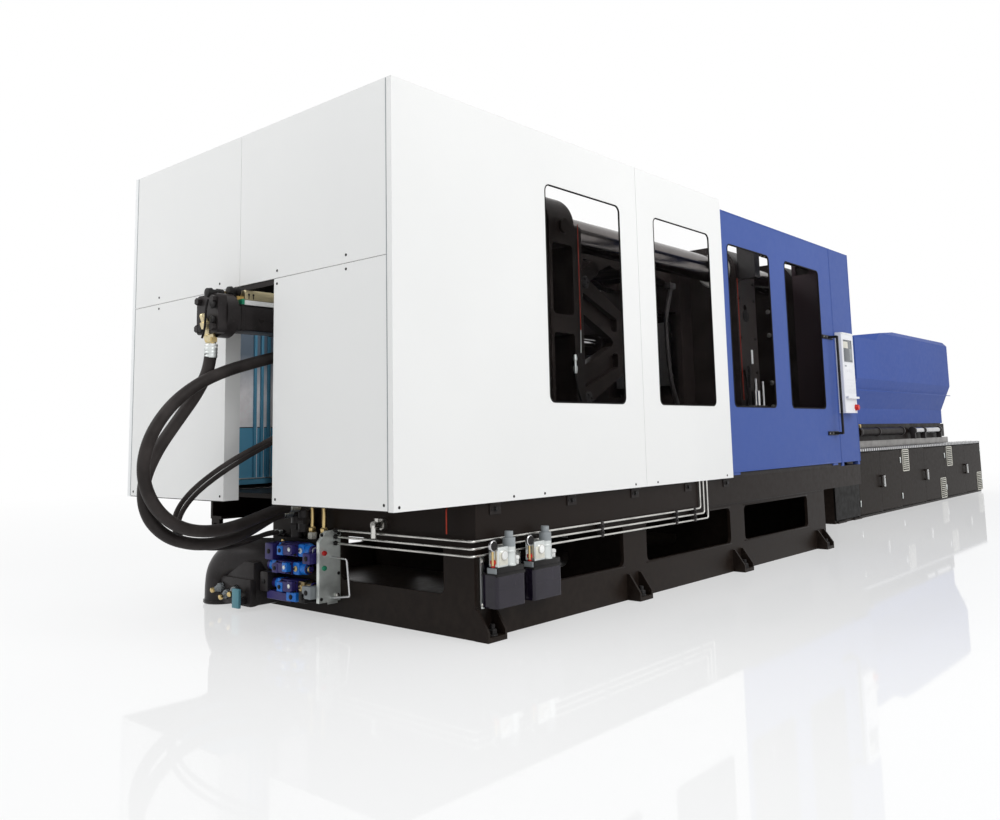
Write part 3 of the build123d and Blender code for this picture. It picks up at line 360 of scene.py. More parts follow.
@dataclass(frozen=True)
class BareMetal(Coating):
    """Machined, ground, plated or drawn metal with marks along one direction."""

    roughness: float = 0.28
    grain_axis: Axis = Axis.X
    marks: float = 0.25
    stain: float = 0.15

    def make(self) -> bpy.types.Material:
        """Return the material."""
        web = self.web()
        stretch = tuple(0.03 if part else 1.0 for part in self.grain_axis.value)
        lines = web.noise(700.0, 2.0, stretch)
        cloud = web.noise(14.0, 4.0)
        dark = scaled(self.colour, 1.0 - self.stain * 1.6)
        colour = web.blend(cloud.clamped(0.45, 0.75), self.colour, dark)
        colour = web.blend(lines.clamped(0.3, 0.7) * 0.2, colour, scaled(self.colour, 1.25))
        roughness = (lines * 0.5 + cloud * 0.5).clamped(0.3, 0.7, self.roughness - 0.07, self.roughness + 0.12)
        return web.surface(Base_Color=colour, Metallic=1.0, Roughness=roughness,
                           Normal=web.bump(lines, self.marks, 0.0004))


@dataclass(frozen=True)
class Moulded(Coating):
    """Moulded plastic or rubber with a fine skin."""

    roughness: float = 0.5
    skin: float = 0.2
    scale: float = 300.0
    clear: float = 0.0
    shine: float = 0.3

    def make(self) -> bpy.types.Material:
        """Return the material."""
        web = self.web()
        skin = web.noise(self.scale, 2.0)
        cloud = web.noise(11.0, 3.0)
        light = scaled(self.colour, 1.25, 0.004)
        colour = web.blend(cloud.clamped(0.35, 0.7), self.colour, light)
        roughness = cloud.clamped(0.3, 0.7, self.roughness - 0.06, self.roughness + 0.08)
        return web.surface(Base_Color=colour, Roughness=roughness, Transmission_Weight=self.clear,
                           Specular_IOR_Level=self.shine, Normal=web.bump(skin, self.skin, 0.0005))


@dataclass(frozen=True)
class ClearSheet(Coating):
    """Clear plastic glazing with faint smears."""

    veil: float = 0.10

    def make(self) -> bpy.types.Material:
        """Return the material."""
        web = self.web()
        smear = web.noise(3.0, 4.0, (1.0, 1.0, 0.35))
        alpha = smear.clamped(0.3, 0.75, self.veil * 0.6, self.veil * 1.3)
        roughness = smear.clamped(0.3, 0.7, 0.04, 0.09)
        tint = web.blend(smear, self.colour, scaled(self.colour, 1.1))
        return web.surface(Base_Color=tint, Roughness=roughness, Specular_IOR_Level=0.2, Alpha=alpha)


@dataclass(frozen=True)
class TreadMetal(Coating):
    """Bare aluminium floor sheet with raised crossed lozenges."""

    colour: Colour = (0.90, 0.91, 0.92)
    pitch: float = 0.060

    def make(self) -> bpy.types.Material:
        """Return the material."""
        web = self.web()
        x = web.along(Axis.X)
        y = web.along(Axis.Y)
        lean = (x + y).wrapped(self.pitch)
        cross = (x - y).wrapped(self.pitch)
        bar_a = (0.5 - lean).clamped(0.36, 0.46) * cross.below(0.36)
        bar_b = (0.5 - cross).clamped(0.36, 0.46) * lean.below(0.36)
        raised = bar_a + bar_b
        worn = web.noise(6.0, 4.0)
        ground = web.blend(worn.clamped(0.35, 0.7), (0.10, 0.10, 0.105), (0.16, 0.16, 0.165))
        colour = web.blend(raised.clamped(0.2, 0.8), ground, self.colour)
        return web.surface(Base_Color=colour, Metallic=0.7, Roughness=worn.clamped(0.3, 0.7, 0.26, 0.42),
                           Normal=web.bump(raised, 0.6, 0.0012))


@dataclass(frozen=True)
class HoseRubber(Coating):
    """Matt hydraulic hose cover with a cloth print and rubbed patches."""

    colour: Colour = (0.020, 0.016, 0.015)

    def make(self) -> bpy.types.Material:
        """Return the material."""
        web = self.web()
        rub = web.noise(7.0, 4.0)
        print_x = web.along(Axis.X).wrapped(0.0021)
        print_z = web.along(Axis.Z).wrapped(0.0021)
        colour = web.blend(rub.clamped(0.4, 0.75), self.colour, (0.050, 0.042, 0.040))
        weave = print_x * 0.5 + print_z * 0.5 + web.noise(500.0, 1.0) * 0.4
        return web.surface(Base_Color=colour, Roughness=rub.clamped(0.3, 0.7, 0.46, 0.62), Specular_IOR_Level=0.18,
                           Normal=web.bump(weave, 0.25, 0.0008))


@dataclass(frozen=True)
class PlacedPaint(Coating):
    """Two paints on one node, parted by planes of the row frame; the far skin, the rear guard and the cabinet plates
    use it to paint a glow or shade on one side.
    """

    far: Colour
    axis: Axis
    limit: float
    metal: float = 0.0
    height: float = 0.0
    start: float = -9.0
    soft: float = 0.0005

    def make(self) -> bpy.types.Material:
        """Return the material."""
        web = self.web()
        beyond = web.along(self.axis).clamped(self.limit - self.soft, self.limit + self.soft)
        beyond = 1.0 - (1.0 - beyond) * web.along(Axis.X).above(self.start)
        cloud = web.noise(18.0, 4.0)
        near = web.blend(cloud.clamped(0.35, 0.7), self.colour, tuple(part * 1.2 for part in self.colour))
        if self.height:
            near = web.blend(web.along(Axis.Z).above(self.height), near, BASE_BLACK)
        colour = web.blend(beyond, near, self.far)
        roughness = cloud.clamped(0.3, 0.7, 0.36, 0.5)
        return web.surface(Base_Color=colour, Metallic=(1.0 - beyond) * self.metal, Roughness=roughness,
                           Specular_IOR_Level=0.08, Normal=web.bump(web.noise(300.0, 2.0), 0.1, 0.0005))


@dataclass(frozen=True)
class StudioFloor(Coating):
    """Pale studio floor: it takes shadows and a faint mirror image near the machine and fades to white."""

    colour: Colour = (0.93, 0.93, 0.925)
    near: float = 4.0
    far: float = 11.0

    def make(self) -> bpy.types.Material:
        """Return the material."""
        web = self.web()
        cloud = web.noise(0.7, 2.0)
        colour = web.blend(cloud, self.colour, scaled(self.colour, 0.99))
        gloss = {"Base Color": colour, "Roughness": 0.035, "Specular IOR Level": 0.7}
        lit = web.add("ShaderNodeBsdfPrincipled", inputs=gloss)
        white = web.add("ShaderNodeEmission", inputs={"Color": WHITE_LIGHT, "Strength": 1.0})
        reach = web.add("ShaderNodeVectorMath", {"operation": "LENGTH"}, {0: web.place()}, 1)
        share = web.seen() * reach.clamped(self.near, self.far, 0.45, 1.0)
        mixed = web.add("ShaderNodeMixShader", inputs={0: share, 1: lit, 2: white})
        web.add("ShaderNodeOutputMaterial", inputs={0: mixed})
        return web.material


class Finish(Enum):
    """The finishes of the machine's pieces."""

    COVER = PowderCoat("cover_sheet_paint", (0.83, 0.825, 0.81), 0.38, 0.0, 0.02, 0.03, 0.3)
    GATE = PowderCoat("gate_sheet_paint", (0.060, 0.104, 0.330), 0.42, 0.0, 0.05, 0.05, 0.08)
    HOOD = PowderCoat("hood_sheet_paint", (0.050, 0.100, 0.372), 0.44, 0.0, 0.05, 0.05, 0.07)
    CABINET = PowderCoat("cabinet_paint", (0.014, 0.0098, 0.0075), 0.42, 0.0, 0.1, 0.05, 0.05)
    PANEL = PowderCoat("station_paint", (0.82, 0.82, 0.84), 0.42, 0.0, 0.01)
    BASE = PowderCoat("base_paint", BASE_BLACK, 0.40, 0.0, 0.08, 0.12, 0.09)
    FRAME = PowderCoat("guard_frame_paint", (0.022, 0.018, 0.017), 0.46, 0.0, 0.2, 0.05, 0.12)
    # INNER is a painted glow: near white below about 1.09 m, fading into dark grey-blue above about 1.33 m.
    INNER = PlacedPaint("far_sheet_painted_glow", (0.90, 0.87, 0.88), (0.16, 0.20, 0.25), Axis.Z, 1.21, soft=0.12)
    INNER_BLUE = PowderCoat("far_gate_paint", (0.105, 0.320, 0.480), 0.32, 0.0, 0.1)
    REVEAL = PowderCoat("reveal_brown_paint", (0.035, 0.021, 0.0245), 0.42, 0.0, 0.1, 0.05, 0.12)
    # CASTING and PLATEN are one brown cast paint in two copies: CASTING is darkened as painted shade for the castings
    # deep inside the cover, and PLATEN is lightened as painted light for the moving platen's lit side.
    CASTING = CastPaint("casting_brown_paint_shaded_copy", (0.0085, 0.0056, 0.0047), 0.40, 0.35, 0.03, 0.05)
    PLATEN = CastPaint("platen_brown_paint_lit_copy", (0.016, 0.0115, 0.0104), 0.42, 0.35, 0.03, 0.14)
    DARK_CASTING = CastPaint("casting_black_paint", (0.010, 0.009, 0.009), 0.40, 0.3, 0.05)
    DRIVE = CastPaint("drive_black_paint", (0.020, 0.017, 0.017), 0.34, 0.15, 0.1)
    BAR = BareMetal("chrome_bar", (0.50, 0.50, 0.51), 0.16, Axis.X, 0.1, 0.12)
    DARK_BAR = BareMetal("tie_bar_steel", (0.135, 0.122, 0.118), 0.15, Axis.X, 0.05, 0.1)
    STEEL = BareMetal("machined_steel", (0.30, 0.29, 0.28), 0.34, Axis.Z)
    TUBE = BareMetal("drawn_tube", (0.62, 0.61, 0.58), 0.24, Axis.X, 0.1, 0.25)
    ZINC = BareMetal("zinc_plate", (0.66, 0.69, 0.68), 0.36, Axis.Z, 0.15, 0.15)
    BRASS = BareMetal("machined_brass", (0.62, 0.47, 0.22), 0.28, Axis.Z, 0.15)
    COPPER = BareMetal("copper_pipe", (0.34, 0.045, 0.028), 0.34, Axis.Z, 0.1)
    GOLD = BareMetal("gold_anodised", (0.66, 0.57, 0.36), 0.32, Axis.X, 0.1, 0.1)
    BRONZE = BareMetal("bronze_coil", (0.22, 0.17, 0.09), 0.28, Axis.Y, 0.1, 0.1)
    BAND = BareMetal("heater_band", (0.44, 0.42, 0.40), 0.34, Axis.X)
    SOLENOID = PowderCoat("coil_paint", (0.010, 0.190, 0.700), 0.30, 0.0, 0.05)
    VALVE = PowderCoat("valve_paint", (0.030, 0.022, 0.150), 0.34, 0.0, 0.1)
    TEAL = PowderCoat("teal_paint", (0.10, 0.28, 0.34), 0.36, 0.0, 0.1)
    RUBBER = Moulded("seal_strip", (0.008, 0.007, 0.007), 0.62, 0.2, 300.0, 0.0, 0.1)
    BLACK = Moulded("black_plastic", (0.012, 0.011, 0.011), 0.42, 0.2, 300.0, 0.0, 0.15)
    RED = Moulded("red_plastic", (0.55, 0.015, 0.012), 0.28)
    WHITE = Moulded("white_plastic", (0.76, 0.76, 0.74), 0.36)
    GREY = Moulded("grey_plastic", (0.26, 0.28, 0.29), 0.42)
    TANK = Moulded("oil_tank", (0.013, 0.009, 0.020), 0.10, 0.05, 60.0, 0.3)
    TANK_FULL = Moulded("oil_level", (0.018, 0.012, 0.020), 0.16, 0.05, 60.0)
    SCREEN = Moulded("screen_dark", (0.10, 0.11, 0.12), 0.14, 0.02, 60.0)
    GREEN = Moulded("green_plug", (0.02, 0.26, 0.14), 0.4)
    CREAM = Moulded("cream_vent", (0.62, 0.60, 0.52), 0.42)
    PANE = ClearSheet("window_sheet", (0.12, 0.11, 0.11), 0.006)
    TREAD = TreadMetal("lozenge_sheet")
    HOSE = HoseRubber("hose_cloth_cover")
    # The rear guard is white outside; its inner faces (Y below 1.0315 m, except the end flange before X -5.10 m) are
    # painted near black as painted shade.
    FAR_COVER = PlacedPaint("far_cover_painted_shade", (0.0035, 0.003, 0.0026), (0.87, 0.875, 0.87), Axis.Y, 1.0315,
                            start=-5.10)
    BLOCK = PlacedPaint("manifold_metal", (0.66, 0.69, 0.66), (0.012, 0.010, 0.010), Axis.Y, -0.1125, 0.65)
    # The cabinet plates before the first door (X below 1.0565 m) are near black below 0.452 m as painted shade of a
    # recess under the beam, base black above that, and door black beyond.
    CABINET_SIDE = PlacedPaint("cabinet_side_painted_recess_shade", (0.0022, 0.0018, 0.0016), DOOR_BLACK, Axis.X, 1.0565,
                               height=0.452)
    FLOOR = StudioFloor("studio_floor")

    def material(self) -> bpy.types.Material:
        """Return this finish's material, made once."""
        made = self.value.name + "_finish"
        return bpy.data.materials.get(made) or self.value.make()


Profile = Sequence[tuple[float, float]]


def cap(radius: float, tip: float, share: float = 0.6) -> Profile:
    """Return the profile of a button that narrows after a share of its height."""
    return [(0, radius), (share, radius), (1, tip)]


def collar(foot: float, wide: float, tip: float, low: float = 0.1, high: float = 0.9) -> Profile:
    """Return the profile of a ring that is wide between two shares of its height."""
    return [(0, foot), (low, wide), (high, wide), (1, tip)]


def circle(count: int, radius: float, shift: float = 0.0) -> list[tuple[float, float]]:
    """Return points on a circle.

    Args:
        count: How many.
        radius: The circle's radius.
        shift: Where the first one is, as a share of the pitch.

    Returns:
        Both offsets of each point from the centre.
    """
    turns = [2 * math.pi * (k + shift) / count for k in range(count)]
    return [(radius * math.cos(turn), radius * math.sin(turn)) for turn in turns]


def add_object(name: str, data: Any) -> bpy.types.Object:
    """Add an object to the scene.

    Args:
        name: Its name.
        data: Its mesh, curve, lamp or camera.

    Returns:
        The object.
    """
    made = bpy.data.objects.new(name, data)
    bpy.context.scene.collection.objects.link(made)
    return made


class Form:
    """Gathers the mesh of one piece in shop millimetres."""

    def __init__(self, name: str) -> None:
        """Start an empty piece of this name."""
        self.name = name
        self.mesh = bmesh.new()
        self.finishes: list[Finish | None] = [None]

    def _paint(self, faces: Iterable[bmesh.types.BMFace], finish: Finish | None) -> None:
        """Give faces a finish; material slot 0 is the piece's own.

        Args:
            faces: The faces.
            finish: Their finish, or None for the piece's own.
        """
        if finish not in self.finishes:
            self.finishes.append(finish)
        index = self.finishes.index(finish)
        for face in faces:
            face.material_index = index

    def _ring(self, centre: Vector, side: Vector, other: Vector, size: float,
              sides: int) -> list[bmesh.types.BMVert]:
        """Add the points of a round section.

        Args:
            centre: Its centre in the row frame.
            side: One direction across it.
            other: The direction square to that.
            size: Its radius in metres.
            sides: How many points.

        Returns:
            The points.
        """
        turns = [2 * math.pi * k / sides for k in range(sides)]
        return [self.mesh.verts.new(centre + (side * math.cos(t) + other * math.sin(t)) * size) for t in turns]

    def _skin(self, rings: list[list[bmesh.types.BMVert]], finish: Finish | None, looped: bool = False) -> None:
        """Span faces between rings of points.

        Args:
            rings: The rings, with as many points each.
            finish: Their finish, or None for the piece's own.
            looped: Whether the last ring meets the first, in place of two end caps.
        """
        faces = []
        for ring_a, ring_b in zip(rings, rings[1:] + (rings[:1] if looped else [])):
            for k in range(len(ring_a)):
                n = (k + 1) % len(ring_a)
                faces.append(self.mesh.faces.new((ring_a[k], ring_a[n], ring_b[n], ring_b[k])))
        if not looped:
            faces.append(self.mesh.faces.new(tuple(reversed(rings[0]))))
            faces.append(self.mesh.faces.new(tuple(rings[-1])))
        self._paint(faces, finish)

    def block(self, low: Point, high: Point, bevel: float = 1.5, finish: Finish | None = None) -> None:
        """Add a box with rounded edges.

        Args:
            low: Lowest corner.
            high: Highest corner.
            bevel: Edge rounding.
            finish: Its finish, or None for the piece's own.
        """
        a, b = at(*low), at(*high)
        size = b - a
        matrix = Matrix.Translation((a + b) / 2) @ Matrix.Diagonal((size.x, size.y, size.z, 1.0))
        made = bmesh.ops.create_cube(self.mesh, size=1.0, matrix=matrix)["verts"]
        faces = {face for vert in made for face in vert.link_faces}
        self._paint(faces, finish)
        offset = min(bevel / 1000, min(abs(part) for part in size) * LARGEST_BEVEL)
        if offset > SMALLEST_BEVEL:
            edges = list({edge for vert in made for edge in vert.link_edges})
            result = bmesh.ops.bevel(self.mesh, geom=edges, offset=offset, segments=2, profile=0.6,
                                     affect="EDGES", clamp_overlap=True)
            self._paint(result["faces"], finish)

    def lathe(self, start: Point, end: Point, profile: Profile, sides: int = 24,
              finish: Finish | None = None) -> None:
        """Turn a profile about a line.

        Args:
            start: First end of the line.
            end: Other end of the line.
            profile: Pairs of share along the line and radius.
            sides: Facets around.
            finish: Its finish, or None for the piece's own.
        """
        a, b = at(*start), at(*end)
        line = b - a
        unit = line.normalized()
        side = unit.orthogonal().normalized()
        other = unit.cross(side)
        rings = [self._ring(a + line * share, side, other, max(radius, 0.05) / 1000, sides)
                 for share, radius in profile]
        self._skin(rings, finish)

    def turn(self, start: Point, axis: Axis, length: float, profile: Profile, sides: int = 24,
             finish: Finish | None = None) -> None:
        """Turn a profile about a line along a main direction.

        Args:
            start: First end of the line.
            axis: The line's direction.
            length: Its length, below 0 against the direction.
            profile: Pairs of share along the line and radius.
            sides: Facets around.
            finish: Its finish, or None for the piece's own.
        """
        end = tuple(place + part * length for place, part in zip(start, axis.value))
        self.lathe(start, end, profile, sides, finish)

    def drum(self, start: Point, end: Point, radius: float, finish: Finish | None = None,
             sides: int = 24) -> None:
        """Add a round bar whose ends are chamfered.

        Args:
            start: First end.
            end: Other end.
            radius: Its radius.
            finish: Its finish, or None for the piece's own.
            sides: Facets around.
        """
        length = (Vector(end) - Vector(start)).length
        cut = min(radius * 0.06, length * 0.4)
        share = cut / length
        profile = [(0.0, radius - cut), (share, radius), (1.0 - share, radius), (1.0, radius - cut)]
        self.lathe(start, end, profile, sides, finish)

    def bolt(self, seat: Point, axis: Point, across: float, finish: Finish | None = None) -> None:
        """Add a hexagon head on a washer.

        Args:
            seat: Point on the surface it stands on.
            axis: Outward direction of unit length.
            across: Width across its flats.
            finish: Its finish, or None for the piece's own.
        """
        out = Vector(axis)
        base = Vector(seat)
        washer = base + out * across * 0.12
        top = washer + out * across * 0.45
        wide = across * 0.577
        disc = [(0.0, wide * 1.25), (0.8, wide * 1.25), (1.0, wide * 1.2)]
        self.lathe(tuple(base), tuple(washer), disc, 20, finish)
        self.lathe(tuple(washer), tuple(top), cap(wide, wide * 0.86, 0.85), 6, finish)

    def bolt_circle(self, centre: Point, out: int, radius: float, count: int, across: float,
                    finish: Finish | None = None, shift: float = 0.0) -> None:
        """Add bolts on a circle around a line along X.

        Args:
            centre: The circle's centre, on the surface they stand on.
            out: 1 where they look to high X, or -1.
            radius: The circle's radius.
            count: How many.
            across: Width across their flats.
            finish: Their finish, or None for the piece's own.
            shift: Where the first one is, as a share of the pitch.
        """
        x, y, z = centre
        for dy, dz in circle(count, radius, shift):
            self.bolt((x, y + dy, z + dz), (out, 0, 0), across, finish)

    def sweep(self, line: Sequence[Vector], radius: float, finish: Finish | None = None, sides: int = 12,
              radii: Sequence[float] | None = None) -> None:
        """Run a round section along a line of points in the row frame.

        Args:
            line: Points close together, in metres.
            radius: Section radius in millimetres.
            finish: Its finish, or None for the piece's own.
            sides: Facets around.
            radii: A radius for every point, in place of one.
        """
        heading = (line[1] - line[0]).normalized()
        side = heading.orthogonal().normalized()
        rings = []
        for i, point in enumerate(line):
            before = line[max(0, i - 1)]
            after = line[min(len(line) - 1, i + 1)]
            heading = (after - before).normalized()
            side = (side - heading * side.dot(heading)).normalized()
            size = (radii[i] if radii else radius) / 1000
            rings.append(self._ring(point, side, heading.cross(side), size, sides))
        self._skin(rings, finish)

    def pipe(self, points: Sequence[Point], radius: float, finish: Finish | None = None,
             sides: int = 10) -> None:
        """Run a round section along a smooth route through these points in millimetres."""
        self.sweep(smooth_line(points), radius, finish, sides)

    def rim(self, low: tuple[float, float], high: tuple[float, float], y0: float, y1: float, radius: float,
            width: float, finish: Finish | None = None) -> None:
        """Add a rounded rectangular seal around a window in a side sheet.

        Args:
            low: Lowest X and Z of its inner edge.
            high: Highest X and Z of its inner edge.
            y0: Its outer face.
            y1: Its inner face.
            radius: Corner radius of the inner edge.
            width: Width of the seal.
            finish: Its finish, or None for the piece's own.
        """
        corners = ((high[0] - radius, high[1] - radius, 0), (low[0] + radius, high[1] - radius, 90),
                   (low[0] + radius, low[1] + radius, 180), (high[0] - radius, low[1] + radius, 270))
        sections = [(0.0, y1), (0.0, y0 + 0.6), (0.8, y0), (width - 0.8, y0), (width, y0 + 0.6), (width, y1)]
        rings = []
        for grow, y in sections:
            reach = radius + grow
            ring = []
            for cx, cz, turn in corners:
                for k in range(7):
                    angle = math.radians(turn + 15 * k)
                    place = at(cx + reach * math.cos(angle), y, cz + reach * math.sin(angle))
                    ring.append(self.mesh.verts.new(place))
            rings.append(ring)
        self._skin(rings, finish, looped=True)

    def build(self, finish: Finish, slot: str, body: str | None) -> bpy.types.Object:
        """Make the object.

        Args:
            finish: The piece's own finish.
            slot: Not used.
            body: The body that it rides on, or None to leave it unattached.

        Returns:
            The object.
        """
        bmesh.ops.recalc_face_normals(self.mesh, faces=self.mesh.faces)
        data = bpy.data.meshes.new(self.name)
        self.mesh.to_mesh(data)
        self.mesh.free()
        for one in self.finishes:
            data.materials.append((one or finish).material())
        data.polygons.foreach_set("use_smooth", [True] * len(data.polygons))
        data.set_sharp_from_angle(angle=SHARP_FROM)
        made = add_object(self.name, data)
        if body is not None:
            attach(made, body)
        LOG.info("piece %s: %d faces", self.name, len(data.polygons))
        return made


def smooth_line(points: Sequence[Point]) -> list[Vector]:
    """Return close points of a NURBS spline.

    Args:
        points: Its control points in shop millimetres.

    Returns:
        Points in the row frame.
    """
    curve = bpy.data.curves.new("route", "CURVE")
    curve.dimensions = "3D"
    curve.resolution_u = 10
    spline = curve.splines.new("NURBS")
    spline.points.add(len(points) - 1)
    for knot, point in zip(spline.points, points):
        knot.co = (*at(*point), 1.0)
    spline.order_u = 3
    spline.use_endpoint_u = True
    holder = add_object("route", curve)
    bpy.context.view_layer.update()
    found = holder.evaluated_get(bpy.context.evaluated_depsgraph_get())
    mesh = bpy.data.meshes.new_from_object(found)
    line = [vert.co.copy() for vert in mesh.vertices]
    bpy.data.objects.remove(holder)
    bpy.data.curves.remove(curve)
    bpy.data.meshes.remove(mesh)
    return line


def elbows(points: Sequence[Point], reach: float) -> list[Point]:
    """Return a route with tight bends at its corners.

    Args:
        points: The corners and both ends.
        reach: Distance from a corner at which its bend starts.

    Returns:
        Control points for smooth_line.
    """
    route = [points[0]]
    for before, corner, after in zip(points, points[1:], points[2:]):
        here = Vector(corner)
        route.append(tuple(here + (Vector(before) - here).normalized() * reach))
        route.append(corner)
        route.append(tuple(here + (Vector(after) - here).normalized() * reach))
    return route + [points[-1]]


def dress(node: str, finish: Finish) -> None:
    """Give a CAD node a finish.

    Args:
        node: The node's name.
        finish: Its finish.
    """
    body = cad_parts[node]
    if not body.material_slots:
        body.data.materials.append(finish.material())
    for slot in body.material_slots:
        slot.material = finish.material()


@dataclass
class Studio:
    """The camera, the soft lights and the pale floor."""

    camera_at: Point = (-2293.3, -3570.1, 832.0)
    yaw: float = 0.8435662
    pitch: float = 0.1208191
    roll: float = -0.0197305
    focal_px: float = 898.208
    centre_px: tuple[float, float] = (489.604, 325.84)
    image: tuple[int, int] = (1000, 820)
    room: float = 0.62
    floor_half: float = 30.0
    floor_drop: float = 0.0008

    def build(self) -> None:
        """Add everything."""
        self._camera()
        self._world()
        self._lamp("key_soft", (-3.5, -7.5, 6.5), (0.5, 0.0, 0.9), 6.0, 420.0)
        self._lamp("end_soft", (-9.5, 2.6, 4.6), (-5.0, 1.4, 2.0), 3.4, 118.0)
        self._lamp("far_side", (4.0, 7.0, 6.0), (0.0, 0.0, 1.0), 6.0, 180.0)
        self._floor()

    def _camera(self) -> None:
        """Place the camera as the photograph shows."""
        level = math.cos(self.pitch)
        forward = Vector((level * math.sin(self.yaw), level * math.cos(self.yaw), math.sin(self.pitch)))
        right = Vector((math.cos(self.yaw), -math.sin(self.yaw), 0.0))
        up = right.cross(forward)
        rolled = right * math.cos(self.roll) + up * math.sin(self.roll)
        upright = up * math.cos(self.roll) - right * math.sin(self.roll)
        data = bpy.data.cameras.new("photo_view")
        data.sensor_width = 36.0
        data.lens = self.focal_px * data.sensor_width / self.image[0]
        data.shift_x = (self.image[0] / 2 - self.centre_px[0]) / self.image[0]
        data.shift_y = (self.centre_px[1] - self.image[1] / 2) / self.image[0]
        data.clip_end = 100.0
        camera = add_object("photo_view", data)
        turn = Matrix((rolled, upright, -forward)).transposed()
        camera.matrix_world = Matrix.Translation(at(*self.camera_at)) @ turn.to_4x4()
        bpy.context.scene.camera = camera

    def _world(self) -> None:
        """Fill the world with soft light and white for the camera."""
        world = bpy.data.worlds.new("soft_room")
        world.use_nodes = True
        bpy.context.scene.world = world
        web = Web("", world.node_tree)
        soft = web.add("ShaderNodeBackground", inputs={"Color": (0.94, 0.97, 1.0, 1.0), "Strength": self.room})
        white = web.add("ShaderNodeBackground", inputs={"Color": WHITE_LIGHT, "Strength": 1.0})
        mixed = web.add("ShaderNodeMixShader", inputs={0: web.seen(), 1: soft, 2: white})
        web.add("ShaderNodeOutputWorld", inputs={0: mixed})

    def _lamp(self, name: str, place: Point, aim: Point, size: float, power: float) -> None:
        """Add a soft area lamp.

        Args:
            name: Its name.
            place: Where it stands, in metres.
            aim: Where it points.
            size: Its side length.
            power: Its power in watts.
        """
        data = bpy.data.lights.new(name, "AREA")
        data.shape = "SQUARE"
        data.size = size
        data.energy = power
        heading = (Vector(aim) - Vector(place)).to_track_quat("-Z", "Y")
        add_object(name, data).matrix_world = Matrix.Translation(place) @ heading.to_matrix().to_4x4()

    def _floor(self) -> None:
        """Lay the floor."""
        mesh = bmesh.new()
        bmesh.ops.create_grid(mesh, x_segments=8, y_segments=8, size=self.floor_half,
                              matrix=Matrix.Translation((0.0, 0.0, -self.floor_drop)))
        data = bpy.data.meshes.new("floor")
        mesh.to_mesh(data)
        mesh.free()
        data.materials.append(Finish.FLOOR.material())
        floor = add_object("floor", data)


@dataclass
class HydraulicHoses:
    """The four free hoses between the clamp cylinder, the tail-stock and the manifold."""

    large: float = 54.0
    small: float = 22.0
    route_1: tuple[Point, ...] = (
        (-148, 0, 1258), (-148, 0, 1162), (-194, 28, 1040), (-272, 56, 918), (-356, 74, 790), (-410, 84, 655),
        (-388, 92, 520), (-292, 102, 424), (-160, 113, 377), (-18, 124, 368), (116, 132, 396), (232, 140, 444),
        (316, 146, 478), (396, 146, 478))
    route_2: tuple[Point, ...] = (
        (372, 0, 1238), (290, 0, 1238), (170, -12, 1212), (40, -30, 1178), (-102, -48, 1138), (-240, -48, 1076),
        (-362, -40, 980), (-446, -22, 842), (-456, 4, 690), (-382, 26, 548), (-252, 44, 456), (-96, 60, 428),
        (60, 72, 446), (204, 82, 484), (300, 86, 508), (392, 86, 508))
    route_3: tuple[Point, ...] = (
        (1370, -16, 1150), (1240, -16, 1150), (1010, -20, 1112), (740, -24, 1046), (470, -28, 966),
        (260, -32, 880), (110, -20, 812), (-10, 10, 752), (-112, 60, 676), (-182, 110, 600), (-214, 160, 520),
        (-200, 200, 440), (-130, 230, 380), (-10, 250, 352), (120, 260, 348), (250, 262, 356), (350, 262, 372),
        (424, 262, 372))
    route_4: tuple[Point, ...] = (
        (1370, 24, 1122), (1240, 24, 1122), (1010, 20, 1080), (740, 16, 1016), (470, 12, 936), (270, 10, 854),
        (130, 22, 788), (20, 50, 726), (-78, 98, 652), (-144, 146, 580), (-174, 196, 500), (-160, 236, 424),
        (-94, 268, 362), (20, 286, 330), (140, 294, 322), (262, 296, 340), (352, 296, 372), (424, 296, 372))

    def build(self) -> None:
        """Make the four hoses and their ferrules."""
        self._hose("hose_large_1", self.route_1, self.large)
        self._hose("hose_large_2", self.route_2, self.large)
        self._hose("hose_small_1", self.route_3, self.small)
        self._hose("hose_small_2", self.route_4, self.small)

    def _hose(self, node: str, points: Sequence[Point], width: float) -> None:
        """Make one hose.

        Args:
            node: The CAD node that it replaces.
            points: Its route.
            width: Its diameter.
        """
        line = smooth_line(points)
        form = Form(node + "_cover")
        form.sweep(line, width / 2, Finish.HOSE, 20)
        hose = form.build(Finish.HOSE, "hose_rubber", None)
        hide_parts(node)
        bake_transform(hose)
        for label, reach, body in (("top", line[:6], TAILSTOCK), ("low", line[-6:][::-1], FRAME)):
            self._ferrule(node + "_ferrule_" + label, reach, width, body)

    def _ferrule(self, name: str, reach: list[Vector], width: float, body: str) -> bpy.types.Object:
        """Make a crimped ferrule at a hose's end.

        Args:
            name: Its name.
            reach: Points of the hose from its end inwards.
            width: The hose's diameter.
            body: The body that it rides on.

        Returns:
            The ferrule.
        """
        start = reach[0]
        heading = (reach[1] - reach[0]).normalized()
        span = width * 1.15 / 1000
        steps = [start + heading * span * k / 12 for k in range(13)]
        wide = width / 2 + width * 0.035
        radii = [wide - (width * 0.03 if k in (3, 6, 9) else 0.0) for k in range(13)]
        radii[0] = width * 0.47
        radii[-1] = width * 0.505
        form = Form(name)
        form.sweep(steps, wide, Finish.ZINC, 16, radii)
        return form.build(Finish.ZINC, "nut_steel", body)


